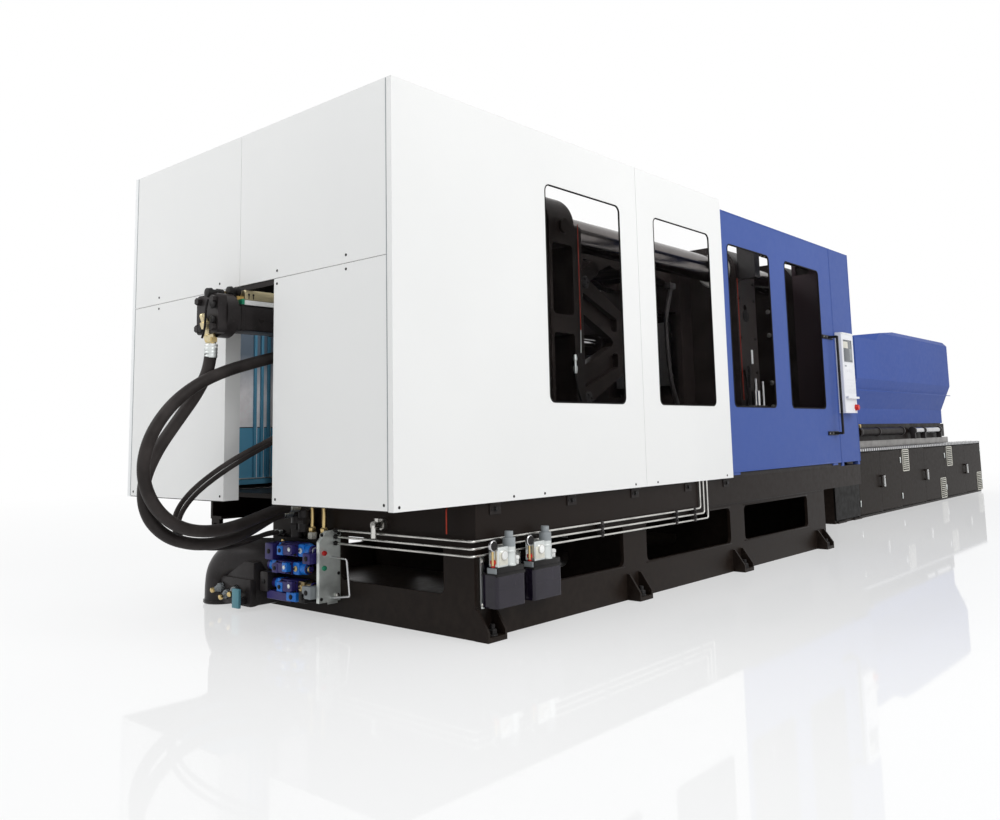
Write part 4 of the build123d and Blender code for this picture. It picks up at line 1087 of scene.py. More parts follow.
@dataclass
class SkinDressing:
    """Finishes of the CAD nodes, which show as they are."""

    plain: dict[Finish, str] = field(default_factory=lambda: {
        Finish.BASE: "clamp_base injection_base",
        Finish.STEEL: "slide_rails ejector screw",
        Finish.COVER: "front_guard end_panels",
        # The rear guard's inside carries painted shade.
        Finish.FAR_COVER: "rear_guard",
        Finish.FRAME: "guard_frame gate_rails",
        Finish.PANE: "guard_panes front_gate_panes",
        Finish.GATE: "front_gate rear_gate fixed_guards",
        Finish.BLACK: "gate_handle",
        Finish.PANEL: "control_panel",
        Finish.RED: "stop_button",
        # The castings inside the cover take the darker copy with painted shade; the moving platen takes the lighter
        # copy with painted light.
        Finish.CASTING: "fixed_platen tailstock_platen crosshead rear_link_upper rear_link_lower front_link_upper "
                        "front_link_lower small_link_upper small_link_lower carriage injection_plate",
        Finish.PLATEN: "moving_platen",
        Finish.DARK_BAR: "tie_bars",
        Finish.DARK_CASTING: "adjust_nuts",
        Finish.DRIVE: "clamp_cylinder safety_bar pump_unit",
        Finish.BRASS: "cylinder_ports pipe_fittings",
        Finish.BAR: "guide_rods piston_rod",
        Finish.BLOCK: "manifold",
        Finish.VALVE: "valves",
        Finish.TUBE: "tap tap_lever steel_tubes",
        Finish.TANK: "lubricator_tanks",
        Finish.GREY: "lubricator_pumps",
        # The cabinet plates carry painted shade of a recess under the beam.
        Finish.CABINET_SIDE: "cabinet_plates",
        Finish.TREAD: "tread_plate",
        Finish.HOOD: "injection_cover",
        Finish.BAND: "barrel",
        Finish.CABINET: "door_1 door_2 door_3 door_4 door_5 door_6"})

    def build(self) -> None:
        """Dress every node."""
        for finish, nodes in self.plain.items():
            for node in nodes.split():
                dress(node, finish)
                LOG.info("dressed %s", node)


@dataclass
class WindowSeals:
    """Rubber edges of the windows in one side sheet."""

    name: str
    windows: tuple[tuple[float, float], ...]
    heights: tuple[float, float]
    inset: float
    outer: float
    inner: float
    radius: float
    width: float
    body: str

    def build(self) -> None:
        """Make one seal for each window."""
        low, high = self.heights[0] + self.inset, self.heights[1] - self.inset
        for i, (x0, x1) in enumerate(self.windows):
            form = Form("%s_seal_%d" % (self.name, i + 1))
            form.rim((x0 + self.inset, low), (x1 - self.inset, high), self.outer, self.inner, self.radius, self.width)
            form.build(Finish.RUBBER, "frame_steel", self.body)


@dataclass
class CoverDressing:
    """Seals, screws, brackets and edge strips of the white clamp cover."""

    face: float = -1033.5
    windows: tuple[tuple[float, float], ...] = ((964.0, 1591.0), (1923.0, 2550.0))
    heights: tuple[float, float] = (974.0, 2004.0)
    low: float = 551.0
    top: float = 2251.0
    joint: float = 1535.0
    side_screws: tuple[float, ...] = (28, 693, 907, 1653, 1865, 2640)
    joint_screws: tuple[float, ...] = (-756, -282, 180, 752)
    low_screws: tuple[float, ...] = (-979, -282, 150, 972)
    brackets: tuple[float, ...] = (560, 1100, 1640, 2180, 2630)
    skin: tuple[float, float] = (330, 1150)
    profiles: tuple[float, ...] = (740, 787, 834)

    def build(self) -> None:
        """Make the pieces."""
        WindowSeals("cover", self.windows, self.heights, 5, self.face - 2.2, self.face + 5.5, 30.0, 6.0,
                    FRAME).build()
        self._screws()
        self._tabs()
        self._end_trim()
        self._far_side()

    def _screws(self) -> None:
        """Make the button-head screws of the cover's side and end sheets."""
        head = [(0.0, 6.0), (0.2, 6.0), (0.26, 5.0), (0.7, 4.4), (0.94, 2.8), (1.0, 1.7)]
        side = Form("cover_screws_side")
        for x in self.side_screws:
            side.turn((x, self.face, self.low + 17), Axis.Y, -3.0, head, 16)
        side.build(Finish.BLACK, "frame_steel", FRAME)
        end = Form("cover_screws_end")
        places = [(y, self.joint + dz) for y in self.joint_screws for dz in (-24, 34)]
        for y, z in places + [(y, self.low + 25) for y in self.low_screws]:
            end.turn((0, y, z), Axis.X, -3.0, head, 16)
        end.build(Finish.BLACK, "frame_steel", FRAME)

    def _tabs(self) -> None:
        """Make the angle brackets that hold the cover on the beam."""
        form = Form("cover_brackets")
        for x in self.brackets:
            form.block((x + 4, -1027, 548), (x + 66, -1012, 553), 1.0)
            form.bolt((x + 35, -1013, 522), (0, -1, 0), 17)
            for dx in (14, 56):
                form.turn((x + dx, -1013, 522), Axis.Y, -3, cap(7, 5), 12)
        form.build(Finish.BLACK, "frame_steel", FRAME)

    def _end_trim(self) -> None:
        """Make the folded strips along the end sheet's joint and at both corners."""
        trim = Form("end_trim")
        for y0, y1 in ((-1001, 6.5), (14, 1001)):
            trim.block((-1.6, y0, self.joint + 1.5), (0, y1, self.joint + 6), 0.5)
        for y in (-1004, 1000):
            trim.block((-1.2, y, self.low + 6), (0, y + 4, self.top - 3), 0.4, Finish.GREY)
        trim.build(Finish.COVER, "cover_white", FRAME)

    def _far_side(self) -> None:
        """Make the far gate's inner skin with its folded profiles, seen through the gap; its upper sheet carries a
        painted glow low down that fades into darker grey-blue higher up.
        """
        skin = Form("far_inner_skin")
        x0, x1 = self.skin
        skin.block((x0, 1008, 905), (x1, 1012, 1500), 0.8)
        skin.block((x0, 1008, 575), (x1, 1012, 900), 0.8, Finish.INNER_BLUE)
        for x in self.profiles:
            skin.block((x, 992, 610), (x + 16, 1008, 1500), 2.0, Finish.INNER_BLUE)
            skin.block((x + 18, 1002, 610), (x + 26, 1008, 1500), 1.0)
        skin.block((x0, 984, 575), (x1, 1008, 610), 3.0, Finish.INNER_BLUE)
        # A bright zinc strip along the bottom rail's top edge is a painted highlight.
        skin.block((x0, 980, 606), (x1, 1004, 612), 1.0, Finish.ZINC)
        skin.build(Finish.INNER, "frame_steel", FRAME)


@dataclass
class GateDressing:
    """Window seals, hems and handle mounts of the blue gates, and the shields beside the mould."""

    face: float = -1018.0
    windows: tuple[tuple[float, float], ...] = ((2815.0, 3412.0), (3658.0, 4252.0))
    heights: tuple[float, float] = (973.0, 1991.0)
    left: float = 2690.0
    right: float = 4488.0
    low: float = 578.0
    top: float = 2197.0
    body: str = "front_gate_body"

    def build(self) -> None:
        """Make the pieces."""
        WindowSeals("gate", self.windows, self.heights, 6, self.face - 2.6, self.face + 6.0, 28.0, 8.0,
                    self.body).build()
        self._hems("gate_edges", self.face - 1.6, self.face, self.body)
        self._handle()
        guard = Form("fixed_guard_trim")
        for x0, x1 in ((4491, 4500), (4862, 4872)):
            guard.block((x0, self.face - 1.4, self.low), (x1, self.face, self.top), 0.5)
        guard.build(Finish.GATE, "gate_blue", FRAME)
        self._hems("rear_gate_edges", -self.face, 1.6 - self.face, "rear_gate_body")
        self._shields()

    def _hems(self, name: str, y0: float, y1: float, body: str) -> None:
        """Make the folded edges of one gate.

        Args:
            name: The piece's name.
            y0: Lower side of the upright hems.
            y1: Upper side of the upright hems.
            body: The gate's body.
        """
        form = Form(name)
        inner_left, inner_right = self.left + 14, self.right - 10
        form.block((self.left, y0, self.low), (inner_left, y1, self.top), 0.6)
        form.block((inner_right, y0, self.low), (self.right, y1, self.top), 0.6)
        if body == self.body:
            for z in (self.top - 9, self.low):
                form.block((inner_left, self.face - 1.2, z), (inner_right, self.face, z + 9), 0.5)
        form.build(Finish.GATE, "gate_blue", body)

    def _handle(self) -> None:
        """Make the plates of the handle's brackets with their screws."""
        plate = Form("handle_plates")
        for z in (795, 1505):
            plate.block((4262, self.face - 8.2, z - 10), (4352, self.face - 6, z + 10), 0.8)
            for x in (4272, 4340, 4430):
                plate.bolt((x, self.face - 6, z), (0, -1, 0), 10, Finish.TUBE)
        plate.build(Finish.BLACK, "handle_black", self.body)

    def _shields(self) -> None:
        """Make the dark sheets on both sides of the fixed platen."""
        shield = Form("mould_side_shield")
        sheets = ((4536, 4541, 702, 1012, 604, 2030), (4536, 4541, 702, 730, 2030, 2150),
                  (4536, 4541, 836, 928, 2030, 2150), (4541, 4560, 990, 1012, 604, 2030))
        for side in (-1, 1):
            for x0, x1, y0, y1, z0, z1 in sheets:
                low, high = sorted((side * y0, side * y1))
                shield.block((x0, low, z0), (x1, high, z1), 0.8)
        shield.build(Finish.REVEAL, "frame_steel", FRAME)


@dataclass
class ControlStation:
    """The upright control box on the fixed guard: screen, keys, ledge and stop collar."""

    x0: float = 4494.0
    x1: float = 4727.0
    face: float = -1073.5
    top: float = 1550.0
    key_pitch: tuple[float, float] = (27, 23)

    def build(self) -> None:
        """Make the pieces."""
        y = self.face
        glass = Form("panel_screen")
        glass.block((4511, y + 1.0, 1327), (4688, y + 3.6, 1495), 1.0)
        glass.block((4519, y + 0.4, 1340), (4680, y + 1.4, 1482), 0.4)
        glass.block((4519, y + 0.1, 1432), (4610, y + 0.8, 1482), 0.2, Finish.CREAM)
        glass.block((4640, y + 0.1, 1345), (4680, y + 0.8, 1430), 0.2, Finish.GREY)
        glass.build(Finish.SCREEN, "frame_steel", FRAME)
        bezel = Form("panel_bezel")
        bezel.rim((4511, 1327), (4688, 1495), y - 2.4, y + 2.0, 5.0, 6.0)
        bezel.block((self.x0 + 3, y - 3, self.top - 13), (self.x1 - 3, y + 1, self.top - 3), 1.2, Finish.WHITE)
        bezel.block((self.x0 + 10, y - 1.0, 1092), (self.x1 - 10, y + 0.5, 1300), 0.6)
        bezel.build(Finish.PANEL, "panel_white", FRAME)
        keys = Form("panel_keys")
        for row in range(4):
            for column in range(7):
                x = self.x0 + 24 + column * self.key_pitch[0]
                z = 1120 + row * self.key_pitch[1]
                keys.block((x, y - 2.4, z), (x + 19, y - 0.8, z + 15), 0.8)
        for x in (30, 52):
            keys.turn((self.x0 + x, y, 1296), Axis.Y, -4, cap(6, 4.5), 16, Finish.GREY)
        keys.build(Finish.PANEL, "panel_white", FRAME)
        stop = Form("stop_collar")
        stop.turn((4690, y, 985), Axis.Y, -9, [(0.0, 24), (0.5, 24), (0.75, 22.5), (1.0, 20.8)], 32)
        stop.build(Finish.RED, "panel_white", FRAME)


@dataclass
class PlatenDressing:
    """Bolts, nuts, lube lines and small parts on the clamp's platens, and the mould space."""

    centre: float = 1390.0
    bar_y: float = 540.0
    bar_dz: float = 583.0
    notch_pitch: float = 62.0
    notch_bar: tuple[float, float] = (-783.0, 2100.0)
    nut_face: float = 1330.0
    tailstock_face: float = 1710.0
    moving_faces: tuple[tuple[float, int], ...] = ((3560.0, -1), (3860.0, 1))
    fixed_face: float = 4550.0
    end_face: float = 4966.0
    side: float = 700.0
    rows: tuple[tuple[str, str, float, float, float, tuple[float, ...]], ...] = (
        ("pin_plates_tailstock", TAILSTOCK, 2130.0, 355.0, 30.0, (620.0, -620.0)),
        ("pin_plates_upper", "rear_upper", 2675.0, 275.0, 30.0, (620.0,)),
        ("pin_plates_crosshead", "crosshead_body", 2110.0, 430.0, 26.0, (350.0, -350.0)))

    def build(self) -> None:
        """Make the pieces."""
        self._tailstock()
        self._nuts()
        self._moving()
        self._moving_lines()
        self._safety_bar()
        self._fixed()
        self._bar_ends()
        self._pins()

    def _bars(self) -> list[tuple[float, float]]:
        """Return the Y and Z of the four tie bars."""
        return [(sy * self.bar_y, self.centre + sz * self.bar_dz) for sy in (-1, 1) for sz in (-1, 1)]

    def _tailstock(self) -> None:
        """Make the lubrication lines, blocks and bolts on the tail-stock."""
        form = Form("tailstock_lines")
        form.pipe([(1672, -706, 1978), (1671, -706, 1780), (1672, -706, 1560), (1672, -706, 1389)], 2.4)
        form.pipe([(1672, -706, 1389), (1671, -706, 1320), (1668, -706, 1265)], 2.4, Finish.ZINC)
        for z0, z1 in ((1501, 1733), (1097, 1335)):
            form.drum((1600, -560, z0), (1600, -560, z1), 7.0, Finish.BAR, 14)
        union = [(0, 9), (0.2, 12), (0.3, 12), (0.32, 8), (0.6, 8), (0.62, 13), (0.8, 13), (1, 9)]
        form.turn((1612, -706, 1252), Axis.Z, -101, union, 12, Finish.ZINC)
        form.pipe([(1611, -708, 1151), (1614, -712, 1110), (1620, -714, 1060), (1640, -712, 1024),
                   (1657, -708, 1004)], 6.0, Finish.RUBBER)
        form.build(Finish.COPPER, "brass", TAILSTOCK)
        bolts = Form("tailstock_bolts")
        for side in (-1, 1):
            for x in (1470, 1600):
                bolts.bolt((x, side * self.side, 700), (0, side, 0), 24)
        for y in (-640, -440, 440, 640):
            for z in (900, 1130, 1650, 1880):
                bolts.bolt((self.tailstock_face, y, z), (1, 0, 0), 26)
        bolts.build(Finish.DARK_CASTING, "nut_steel", TAILSTOCK)

    def _nuts(self) -> None:
        """Make the toothed rims and keeper bolts of the adjusting nuts."""
        form = Form("nut_rims")
        for y, z in self._bars():
            for dy, dz in circle(36, 148):
                form.turn((self.nut_face + 18, y + dy, z + dz), Axis.X, 52, collar(6.5, 8, 6.5, 0.06, 0.94), 6)
            form.bolt_circle((self.nut_face, y, z), -1, 130, 8, 15, shift=0.5)
        form.build(Finish.STEEL, "nut_steel", TAILSTOCK)

    def _moving(self) -> None:
        """Make the moving platen's tie bar sleeves with their bolts."""
        form = Form("moving_platen_trim")
        sleeve = [(0.0, 128), (0.6, 128), (0.7, 118), (1.0, 116), (1.0, 91.5)]
        for y, z in self._bars():
            for x, out in self.moving_faces:
                form.turn((x, y, z), Axis.X, out * 16, sleeve, 40)
                form.bolt_circle((x + out * 9, y, z), out, 121, 6, 12, Finish.TUBE, 0.5)
        form.build(Finish.STEEL, "nut_steel", MOVING)

    def _moving_lines(self) -> None:
        """Make the moving platen's lines, side plug, bolts and damper."""
        form = Form("moving_platen_lines")
        form.pipe([(3572, -706, 1900), (3571, -708, 1500), (3574, -708, 1240), (3584, -706, 1040)], 3.0,
                  Finish.COPPER)
        form.pipe([(3600, -712, 1250), (3606, -722, 1180), (3596, -724, 1110), (3612, -722, 1040),
                   (3604, -714, 980)], 7.0, Finish.RUBBER)
        form.turn((3690, -701, 1640), Axis.Y, -3.5, collar(0.1, 46, 43, 0.05, 0.8), 36, Finish.RUBBER)
        form.block((3742, -703.5, 1300), (3768, -700, 1400), 0.8, Finish.WHITE)
        for z in (1060, 1240, 1480, 1760, 1880):
            for x in (3600, 3820):
                form.bolt((x, -self.side, z), (0, -1, 0), 18, Finish.DARK_CASTING)
        for k in range(9):
            form.turn((3640, -726, 1130 + 16 * k), Axis.Z, 8, [(0, 14), (0.5, 17), (1, 14)], 16)
        for x, y, z0, z1, radius, finish, sides in (
                (3640, -726, 1120, 1280, 9.0, Finish.DRIVE, 14), (3706, -738, 1000, 1105, 30.0, Finish.BAR, 28),
                (3706, -738, 1105, 1190, 11.0, Finish.BAR, 18), (3820, -738, 985, 1175, 10.0, Finish.BAR, 18)):
            form.drum((x, y, z0), (x, y, z1), radius, finish, sides)
        form.block((3562, -752, 985), (3850, -700, 1002), 3.0)
        form.build(Finish.DRIVE, "handle_black", MOVING)

    def _safety_bar(self) -> None:
        """Make the notched sleeve of the mechanical safety bar."""
        form = Form("safety_bar_notches")
        for k in range(9):
            x = 3720 + self.notch_pitch * k
            form.turn((x, *self.notch_bar), Axis.X, 26, collar(20.5, 23.5, 20.5), 24)
            form.turn((x + 26, *self.notch_bar), Axis.X, 36, [(0, 21.5), (1, 21.5)], 24, Finish.BAR)
        form.build(Finish.GOLD, "brass", MOVING)

    def _fixed(self) -> None:
        """Make the fixed platen's bolts and locating ring, and the bent pipe beside the clamp."""
        form = Form("fixed_platen_trim")
        for y in (-620, -480, 480, 620):
            for dz in (-380, -190, 190, 380):
                form.bolt((self.fixed_face, y, self.centre + dz), (-1, 0, 0), 26)
        ring = [(0.0, 112), (0.6, 112), (1.0, 106), (1.0, 81)]
        form.turn((self.fixed_face, 0, self.centre), Axis.X, -6, ring, 48)
        for side in (-1, 1):
            for z in (720, 1100, 1680, 2060):
                form.bolt((4700, side * self.side, z), (0, side, 0), 30, Finish.DARK_CASTING)
        form.build(Finish.STEEL, "nut_steel", FRAME)
        pipe = Form("bent_hose_pipe")
        pipe.pipe([(2605, -733, 1720), (2571, -733, 1640), (2531, -733, 1543), (2524, -733, 1403),
                   (2539, -733, 1265), (2556, -733, 1150), (2590, -733, 1060), (2621, -733, 1008),
                   (2638, -733, 900), (2640, -733, 700), (2640, -733, 551)], 13.0)
        pipe.block((2575, -748, 1716), (2640, -706, 1752), 4.0)
        pipe.build(Finish.DRIVE, "handle_black", FRAME)

    def _bar_ends(self) -> None:
        """Make the tie bars' end discs with their bolts."""
        form = Form("bar_end_discs")
        for y, z in self._bars():
            form.turn((self.end_face - 11, y, z), Axis.X, 11, [(0, 132), (0.6, 132), (1.0, 127), (1.0, 92)], 48)
            form.bolt_circle((self.end_face, y, z), 1, 112, 8, 22)
        form.build(Finish.STEEL, "nut_steel", FRAME)

    def _pins(self) -> None:
        """Make the retaining plates on the toggle's pins."""
        for name, body, x, y, radius, heights in self.rows:
            form = Form(name)
            for z in (self.centre + dz for dz in heights):
                for side in (-1, 1):
                    form.turn((x, side * y, z), Axis.Y, side * 10, cap(radius + 12, radius + 8), 32)
                    for dx, dz in circle(3, radius * 0.8):
                        form.bolt((x + dx, side * (y + 10), z + dz), (0, side, 0), 13)
            form.build(Finish.DARK_CASTING, "nut_steel", body)


@dataclass
class CylinderDressing:
    """The clamp cylinder's casing, plugs and fittings, and the coloured bars above it."""

    centre: float = 1390.0
    tube: float = 62.6
    lip: float = 49.0
    end: float = 1000.0
    bands: tuple[float, ...] = (-40, 200, 520, 800)

    def build(self) -> None:
        """Make the pieces."""
        self._casing()
        self._fittings()

    def _casing(self) -> None:
        """Make the casing, its bands, bolts, plugs and small hose."""
        form = Form("cylinder_trim")
        z = self.centre
        self._cradle(form, -58, self.end, 68, 48)
        for x in self.bands:
            self._cradle(form, x, x + 16, 71, 50)
        form.bolt_circle((-126, 0, z), -1, 84, 12, 12, Finish.DARK_CASTING, 0.5)
        plug = [(0, 8), (0.04, 20), (0.3, 23), (0.34, 17), (0.6, 17), (0.64, 22), (0.96, 22), (1, 10)]
        for x0, x1, dz in ((-191, -108, 94), (-83, -22, 112)):
            form.lathe((x0, -20, z + dz), (x1, -20, z + dz), plug, 28, Finish.BLACK)
            form.turn(((x0 + x1) / 2, -20, z + 48), Axis.Z, dz - 48, [(0, 15), (1, 12)], 20, Finish.BLACK)
        for dy, dz in ((-62, 36), (-62, -30), (30, -62)):
            form.turn((-176, dy, z + dz), Axis.X, -14, [(0, 17), (0.5, 19), (0.8, 17), (1, 9)], 20, Finish.BLACK)
        form.pipe([(-186, -30, z + 60), (-204, -44, z + 20), (-206, -46, z - 30), (-200, -30, z - 80),
                   (-196, -4, z - 108)], 5.0, Finish.RUBBER)
        form.build(Finish.DRIVE, "cylinder_black", TAILSTOCK)

    def _fittings(self) -> None:
        """Make the hose's gold elbow, the coloured bars with their marks, and the second port's nut."""
        form = Form("cylinder_fittings")
        z = self.centre
        elbow = [(0, 21), (0.1, 25), (0.3, 25), (0.32, 18), (0.5, 18), (0.52, 24), (0.72, 24), (0.74, 16), (0.95, 16),
                 (1, 10)]
        form.lathe((-148, 0, z - 128), (-196, -4, z), elbow, 6)
        form.turn((-148, 0, z - 132), Axis.Z, -18, [(0, 27), (0.4, 28.5), (1, 27.5)], 24, Finish.WHITE)
        form.block((-18, -62, z + 74), (self.end, -30, z + 118), 2.5)
        form.block((-24, -66, z + 50), (self.end, -34, z + 72), 2.5, Finish.WHITE)
        for x in (2, 26):
            form.turn((x, -62, z + 98), Axis.Y, -2, cap(5, 3.5), 12, Finish.BLACK)
            form.block((x - 2, -64, z + 78), (x + 2, -62, z + 94), 0.4, Finish.BLACK)
        form.block((-36, -68, z + 48), (-22, -32, z + 76), 3.0, Finish.GREEN)
        form.turn((406, 0, 1262), Axis.Z, 38, collar(32, 35, 32, 0.3, 0.7), 6, Finish.DRIVE)
        form.build(Finish.GOLD, "brass", TAILSTOCK)

    def _cradle(self, form: Form, x0: float, x1: float, half: float, top: float) -> None:
        """Add an open casing round the cylinder's tube, clear of its bore.

        Args:
            form: The piece it is part of.
            x0: Its start.
            x1: Its end.
            half: Half its width, and its depth under the axis.
            top: Its height over the axis.
        """
        z = self.centre
        for side in (-1, 1):
            outer = side * half
            for edge, low, bevel in ((side * self.tube, -half, 2.0), (side * self.lip, top - 7, 1.5)):
                form.block((x0, min(edge, outer), z + low), (x1, max(edge, outer), z + top), bevel, Finish.DRIVE)
        form.block((x0, -half, z - half), (x1, half, z - self.tube), 2.0, Finish.DRIVE)


@dataclass
class HydraulicBay:
    """Valve coils, plugs, pipes and the suction side at the clamp end of the base."""

    face: float = 414.0
    side: float = -133.5
    riser: float = 440.0
    tube_y: float = -1018.0
    cover_low: float = 551.0
    valves: tuple[tuple[float, ...], ...] = ((20, 306, -62, 190), (60, 220, -30, 262), (20, 136, -70, 214))

    def build(self) -> None:
        """Make the pieces."""
        self._valves()
        self._manifold()
        self._pipes()
        self._tubes()
        self._suction()

    def _valves(self) -> None:
        """Make the coils, sockets, knobs and blocks on the directional valves."""
        coil = Form("valve_coils")
        sockets = Form("valve_sockets")
        for i, (y0, z, c0, c1) in enumerate(self.valves):
            y1 = y0 + 130
            knob = Finish.BRASS if i else Finish.ZINC
            for start, end in ((y0, c0), (y1, c1)):
                tint = Finish.BRONZE if i == 2 and end < start else Finish.SOLENOID
                self._coil(coil, start, end, z, tint, knob)
            for y in (y0 + 12, y1 - 12):
                for dz in (-20, 20):
                    coil.turn((self.face - 76, y, z + dz), Axis.X, -8, cap(7, 5.6, 0.7), 16, Finish.DARK_CASTING)
            low, high = self.face - 103, self.face - 74
            for y, half, lift, tip in ((y0 + 26, 20, 6, Finish.ZINC), (y1 - 26, 23, -4, Finish.BLACK)):
                tint = Finish.SOLENOID if (i + half) % 2 else Finish.VALVE
                sockets.block((low, y - half, z - 22 + lift), (high, y + half, z + 22 + lift), 5.0, tint)
                sockets.turn((low, y, z + lift), Axis.X, -6, cap(10, 6), 18, tip)
        for y0, y1, z0, z1, tint in ((-104, -36, 92, 150, Finish.GREY), (-60, -12, 70, 122, Finish.DARK_CASTING),
                                     (-96, -40, 250, 300, Finish.VALVE), (8, 86, 70, 112, Finish.SOLENOID),
                                     (196, 262, 250, 330, Finish.VALVE), (236, 300, 96, 190, Finish.DRIVE)):
            sockets.block((self.face - 92, y0, z0), (self.face - 2, y1, z1), 6.0, tint)
            sockets.turn((self.face - 92, (y0 + y1) / 2, (z0 + z1) / 2), Axis.X, -6, cap(12, 8, 0.5), 20)
        coil.build(Finish.SOLENOID, "valve_blue", FRAME)
        sockets.build(Finish.BLACK, "handle_black", FRAME)

    def _coil(self, form: Form, start: float, end: float, z: float, tint: Finish, knob: Finish) -> None:
        """Add one magnet coil.

        Args:
            form: The piece it is part of.
            start: Y at the valve's body.
            end: Y at its outer end.
            z: Its height.
            tint: The coil's finish.
            knob: The finish of its knobs.
        """
        x = self.face - 42
        middle = start + (end - start) * 0.55
        half_way = (start + middle) / 2
        low, high = sorted((start, middle))
        form.block((x - 30, low, z - 29), (x + 30, high, z + 29), 7.0, tint)
        form.lathe((x, middle, z), (x, end, z), [(0.0, 27), (0.1, 29), (0.8, 27), (1.0, 20)], 28, tint)
        form.turn((x, end, z), Axis.Y, math.copysign(13, end - start), collar(15, 17, 9, 0.3, 0.7), 24, knob)
        form.turn((x - 30, half_way, z), Axis.X, -10, [(0, 13), (0.5, 13), (0.55, 9), (1, 7)], 20, knob)
        form.turn((x - 40, half_way, z), Axis.X, -2, [(0, 5), (1, 5)], 14, Finish.BLACK)

    def _manifold(self) -> None:
        """Make the manifold's plugs, caps and screws."""
        form = Form("manifold_plugs")
        for y, z, tint in ((-88, 336, Finish.TUBE), (-88, 214, Finish.TUBE), (212, 84, Finish.TUBE),
                           (284, 262, Finish.TUBE), (240, 330, Finish.BRASS), (-60, 170, Finish.RED)):
            form.turn((self.face, y, z), Axis.X, -6, cap(11, 8), 20, tint)
        for x, z, tint in ((376, 300, Finish.RED), (376, 232, Finish.GREEN), (452, 100, Finish.TUBE)):
            form.turn((x, self.side, z), Axis.Y, -12.5, [(0, 11), (0.4, 12), (0.8, 11), (1, 7)], 18, tint)
        for x, z in ((362, 384), (362, 92), (462, 384), (462, 200)):
            form.turn((x, self.side, z), Axis.Y, -4.5, cap(8, 6.4), 16, Finish.DARK_CASTING)
        form.build(Finish.TUBE, "nut_steel", FRAME)

    def _pipes(self) -> None:
        """Make the pipes at the manifold, in place of the CAD's plain ones."""
        form = Form("pipe_set")
        for y in (-53.5, 36.5):
            form.turn((self.riser, y, 350), Axis.Z, 32, collar(22, 24, 19, 0.2, 0.8), 6, Finish.CREAM)
            form.turn((self.riser, y, 382), Axis.Z, 26, collar(15, 19, 14, 0.2, 0.8), 6)
            form.pipe(elbows([(self.riser, y, 406), (self.riser, y, 470), (self.riser, y + 6, 548)], 20), 11.0,
                      Finish.BRASS, 14)
        for x, y, z in ((430, 146, 452), (426, 86, 482)):
            form.drum((x, y, z - 100), (x, y, z + 4), 30.0, Finish.DRIVE)
            form.turn((x, y, z - 60), Axis.Z, 30, collar(34, 37, 33, 0.2, 0.8), 6, Finish.DRIVE)
            form.drum((x, y, z + 20), (x - 38, y, z + 24), 27.0, Finish.DRIVE)
        for y in (262, 296):
            form.turn((438, y, 350), Axis.Z, 16, collar(13, 15, 12, 0.2, 0.8), 6, Finish.DARK_CASTING)
            form.drum((self.riser, y, 372), (424, y, 372), 10.0, Finish.DARK_CASTING, 14)
        form.pipe(elbows([(424, -133, 278), (424, -241, 275), (424, -263, 110), (424, -133, 92)], 22), 5.0,
                  Finish.BAR, 12)
        form.pipe(elbows([(436, -878, 424), (436, -878, 526), (452, -878, 540)], 12), 3.4, Finish.COPPER)
        pipes = form.build(Finish.BRASS, "brass", FRAME)
        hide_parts("pipe_fittings")

    def _tubes(self) -> None:
        """Make the three long steel tubes, in place of the CAD's plain ones."""
        runs = Form("steel_tube_runs")
        for z, end in ((400, 2331), (370, 2372), (340, 2414)):
            corners = [(self.riser, self.side, z), (self.riser, self.tube_y, z), (end, self.tube_y, z),
                       (end, self.tube_y, self.cover_low)]
            runs.pipe(elbows(corners, 36), 5.2, Finish.TUBE, 14)
            runs.turn((self.riser, self.side, z), Axis.Y, -26.5, [(0, 11), (0.35, 12), (0.4, 9), (1, 7)], 6,
                      Finish.DARK_CASTING)
        for x in TUBE_CLAMPS:
            runs.block((x, -1026, 332), (x + 20, -996, 408), 3.0, Finish.DRIVE)
        tubes = runs.build(Finish.TUBE, "brass", FRAME)
        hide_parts("steel_tubes")

    def _suction(self) -> None:
        """Make the suction elbow, the pump and its quick connectors."""
        form = Form("pump_visual")
        form.pipe([(350, 668, 16), (350, 668, 90), (351, 655, 160), (358, 600, 214), (372, 520, 238),
                   (398, 430, 242), (450, 350, 240), (520, 320, 240)], 94.0, Finish.DRIVE, 40)
        form.block((300, 326, 14), (500, 590, 236), 34.0)
        form.block((286, 330, 14), (340, 600, 150), 16.0)
        form.turn((350, 668, 4), Axis.Z, 16, [(0, 96), (0.3, 100), (1, 100)], 48)
        form.drum((500, 480, 150), (760, 480, 150), 104.0, Finish.DRIVE, 40)
        form.turn((480, 480, 150), Axis.X, 20, [(0, 60), (0.1, 84), (1, 88)], 40)
        body = [(0, 20), (0.05, 23), (0.5, 23), (0.52, 17), (0.7, 17), (0.72, 13), (1, 11)]
        for y, z, lean in ((574, 96, 14), (516, 70, -2), (452, 92, -16)):
            tip = (246.0, y + lean, z - 12)
            form.lathe((292, y, z), tip, body, 20, Finish.GREY)
            for dy, dz in circle(18, 22.5):
                form.lathe((290, y + dy, z + dz), (270, y + dy + lean * 0.45, z + dz - 5), [(0, 2.4), (1, 2.4)], 6,
                           Finish.DARK_CASTING)
            form.lathe(tip, (228, y + lean * 1.4, z - 16), [(0, 12), (0.4, 14), (0.8, 12), (1, 5)], 16, Finish.BRASS)
        form.block((236, 352, 16), (250, 410, 108), 2.0, Finish.TEAL)
        form.block((250, 360, 30), (300, 400, 60), 2.0)
        pump = form.build(Finish.DRIVE, "cylinder_black", FRAME)
        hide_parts("pump_unit")


